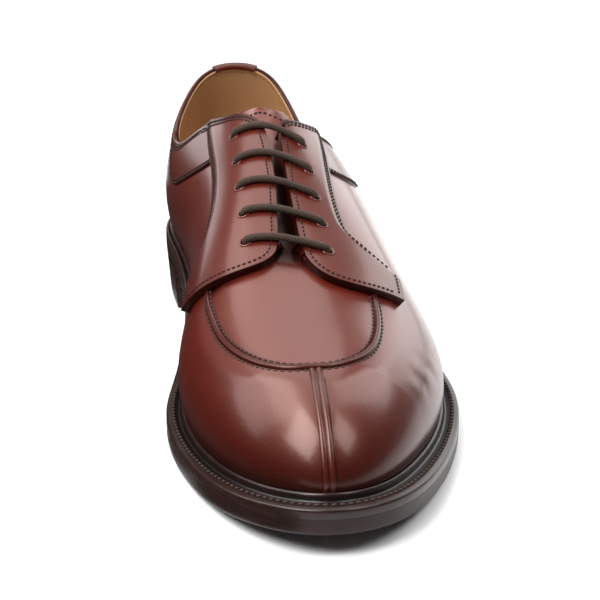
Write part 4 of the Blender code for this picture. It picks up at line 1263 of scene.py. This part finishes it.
# The third values darken the welt: painted shade in the groove beside the rib, less at the lip.
lip = [(-0.1, 0.0, 0.2), (-0.14, 0.03, 0.0), (-0.15, 0.1, 0.0), (-0.15, 0.5, 0.0), (-0.13, 2.2, 0.0), (0.02, 2.8, 0.0),
       (0.3, 3.2, 0.0), (0.7, 3.34, 0.0)]
shelf = [(0.3, 3.3, 0.2), (0.52, 3.2, 0.35), (0.6, 2.9, 0.8), (0.68, 2.3, 1.0), (0.9, 2.0, 1.0)]
rib = [(0.0, 2.3, 1.0), (0.03, 3.2, 0.8), (0.12, 4.0, 0.3), (0.3, 4.6, 0.0), (0.5, 4.8, 0.0), (0.7, 4.7, 0.1),
       (0.9, 4.2, 0.8), (1.0, 3.6, 1.0), (1.2, 0.4, 1.0)]
welt_rows = [(0.0 * width + across, base + height) for across, height, dark in lip]
welt_rows += [(0.7 + (rib_foot - 0.7) * share, base + height) for share, height, dark in shelf]
welt_rows += [(rib_foot + rib_across * share, base + height) for share, height, dark in rib]
welt_dark = np.array([row[2] for row in lip + shelf + rib])
welt_points = [framed(*(edge + inward * across[:, None]).T, height) for across, height in welt_rows]
welt = lay_grid("sewn_welt", np.stack(welt_points, 1), closed=True, burnish_and_shade=welt_dark)
finish_piece(welt, WELT_LEATHER, "sole_leather", "welt")
shelf_middle = 0.7 + (rib_foot - 0.7) * 0.4
broad = rib_foot > 2.3
welt_row = framed(*(edge + inward * shelf_middle[:, None]).T, base + SHELF_HEIGHT)
first = int(np.argmax(broad & ~np.roll(broad, 1)))
welt_row = np.roll(welt_row, -first, axis=0)[np.roll(broad, -first)]
BROWN_THREAD = waxed_thread("brown_waxed_linen", "#1e130f", "#45332a")
sew("welt_stitches", [welt_row], [welt], 2.8, (2.4, 1.8, 1.0), BROWN_THREAD, "sole_leather")


# Outsole
# One bend of sole leather with a trimmed, inked and ironed edge that carries fine wheel lines. The
# underside is plain, with the closed channel of the welt stitching round the forepart.
SOLE_EDGE_LEATHER = dyed_sole_leather("ironed_sole_edge", "#1b0d0b", "#2b1713", 0.4, 9.0, 0.24)
under = sole_bottom(edge[:, 1])
sole_rows = [(5.0, 6.1, 1.0), (-0.1, 6.1, 0.2), (-0.15, 6.07, 0.0), (-0.16, 6.0, 0.0), (-0.16, 5.6, 0.0),
             (-0.16, 4.6, 0.0), (-0.16, 3.4, 0.0), (-0.16, 2.3, 0.0), (-0.1, 1.5, 0.0), (0.08, 0.8, 0.0),
             (0.4, 0.25, 0.1), (0.9, 0.0, 0.2)]
outsole_rows = [framed(*(edge + inward * across).T, under + height) for across, height, dark in sole_rows]
rim = edge + inward * 0.9
sole_middle = shared_middle(edge)
sole_dark = [dark for across, height, dark in sole_rows]
# Painted shade darkens the closed channel a little.
for share in np.linspace(0, 1, 22)[1:]:
    plan = rim + (sole_middle - rim) * share
    groove = 0.35 * math.exp(-((share - 0.16) / 0.035)**2)
    outsole_rows.append(framed(plan[:, 0], plan[:, 1], sole_bottom(plan[:, 1]) + groove))
    sole_dark.append(0.5 * groove)
outsole = lay_grid("leather_outsole", np.stack(outsole_rows, 1)[:, ::-1], closed=True, burnish_and_shade=np.array(sole_dark[::-1]))
finish_piece(outsole, SOLE_EDGE_LEATHER, "sole_leather", "outsole")


# Heel
# A block of stacked leather lifts under the back of the sole, inked like the sole's edge, with a
# straight breast, a slight taper and a fine line between the lifts.
HEEL_TAPER = 1.6
LIFTS = 4
heel_curve = EDGE[EDGE[:, 1] < HEEL_LENGTH]
split = int(np.argmax(np.linalg.norm(np.diff(heel_curve, axis=0), axis=1)))
heel_curve = np.vstack([heel_curve[split + 1:], heel_curve[:split + 1]])
breast = np.linspace(heel_curve[-1], heel_curve[0], 40)[1:-1]
ring = even_line(np.vstack([heel_curve, breast, heel_curve[:1]]), 321)[:-1]
heel_middle = np.array([ring[:, 0].mean(), 44.0])
ring_in = heel_middle - ring
ring_in /= np.linalg.norm(ring_in, axis=1)[:, None]
heel_rows = []
for share in (0.0, 0.4, 0.8):
    plan = heel_middle + (ring + ring_in * (HEEL_TAPER + 0.6) - heel_middle) * share
    heel_rows.append(framed(plan[:, 0], plan[:, 1], 0.0))
for share, height in ((1.0, 0.0), (0.4, 0.1), (0.0, 0.5)):
    plan = ring + ring_in * (HEEL_TAPER + 0.6 * share)
    heel_rows.append(framed(plan[:, 0], plan[:, 1], height))
lift_height = HEEL_HEIGHT / LIFTS
for lift in range(LIFTS):
    for height, across in ((0.9, 0.0), (lift_height - 0.45, 0.0), (lift_height - 0.12, 0.12), (lift_height, 0.22),
                           (lift_height + 0.12, 0.12)):
        level = min(lift * lift_height + height, HEEL_HEIGHT - 0.05)
        plan = ring + ring_in * (HEEL_TAPER * (1 - level / HEEL_HEIGHT) + across)
        heel_rows.append(framed(plan[:, 0], plan[:, 1], level))
heel = lay_grid("stacked_heel", np.stack(heel_rows, 1), closed=True)
finish_piece(heel, SOLE_EDGE_LEATHER, "sole_leather", "heel")


bpy.context.view_layer.update()
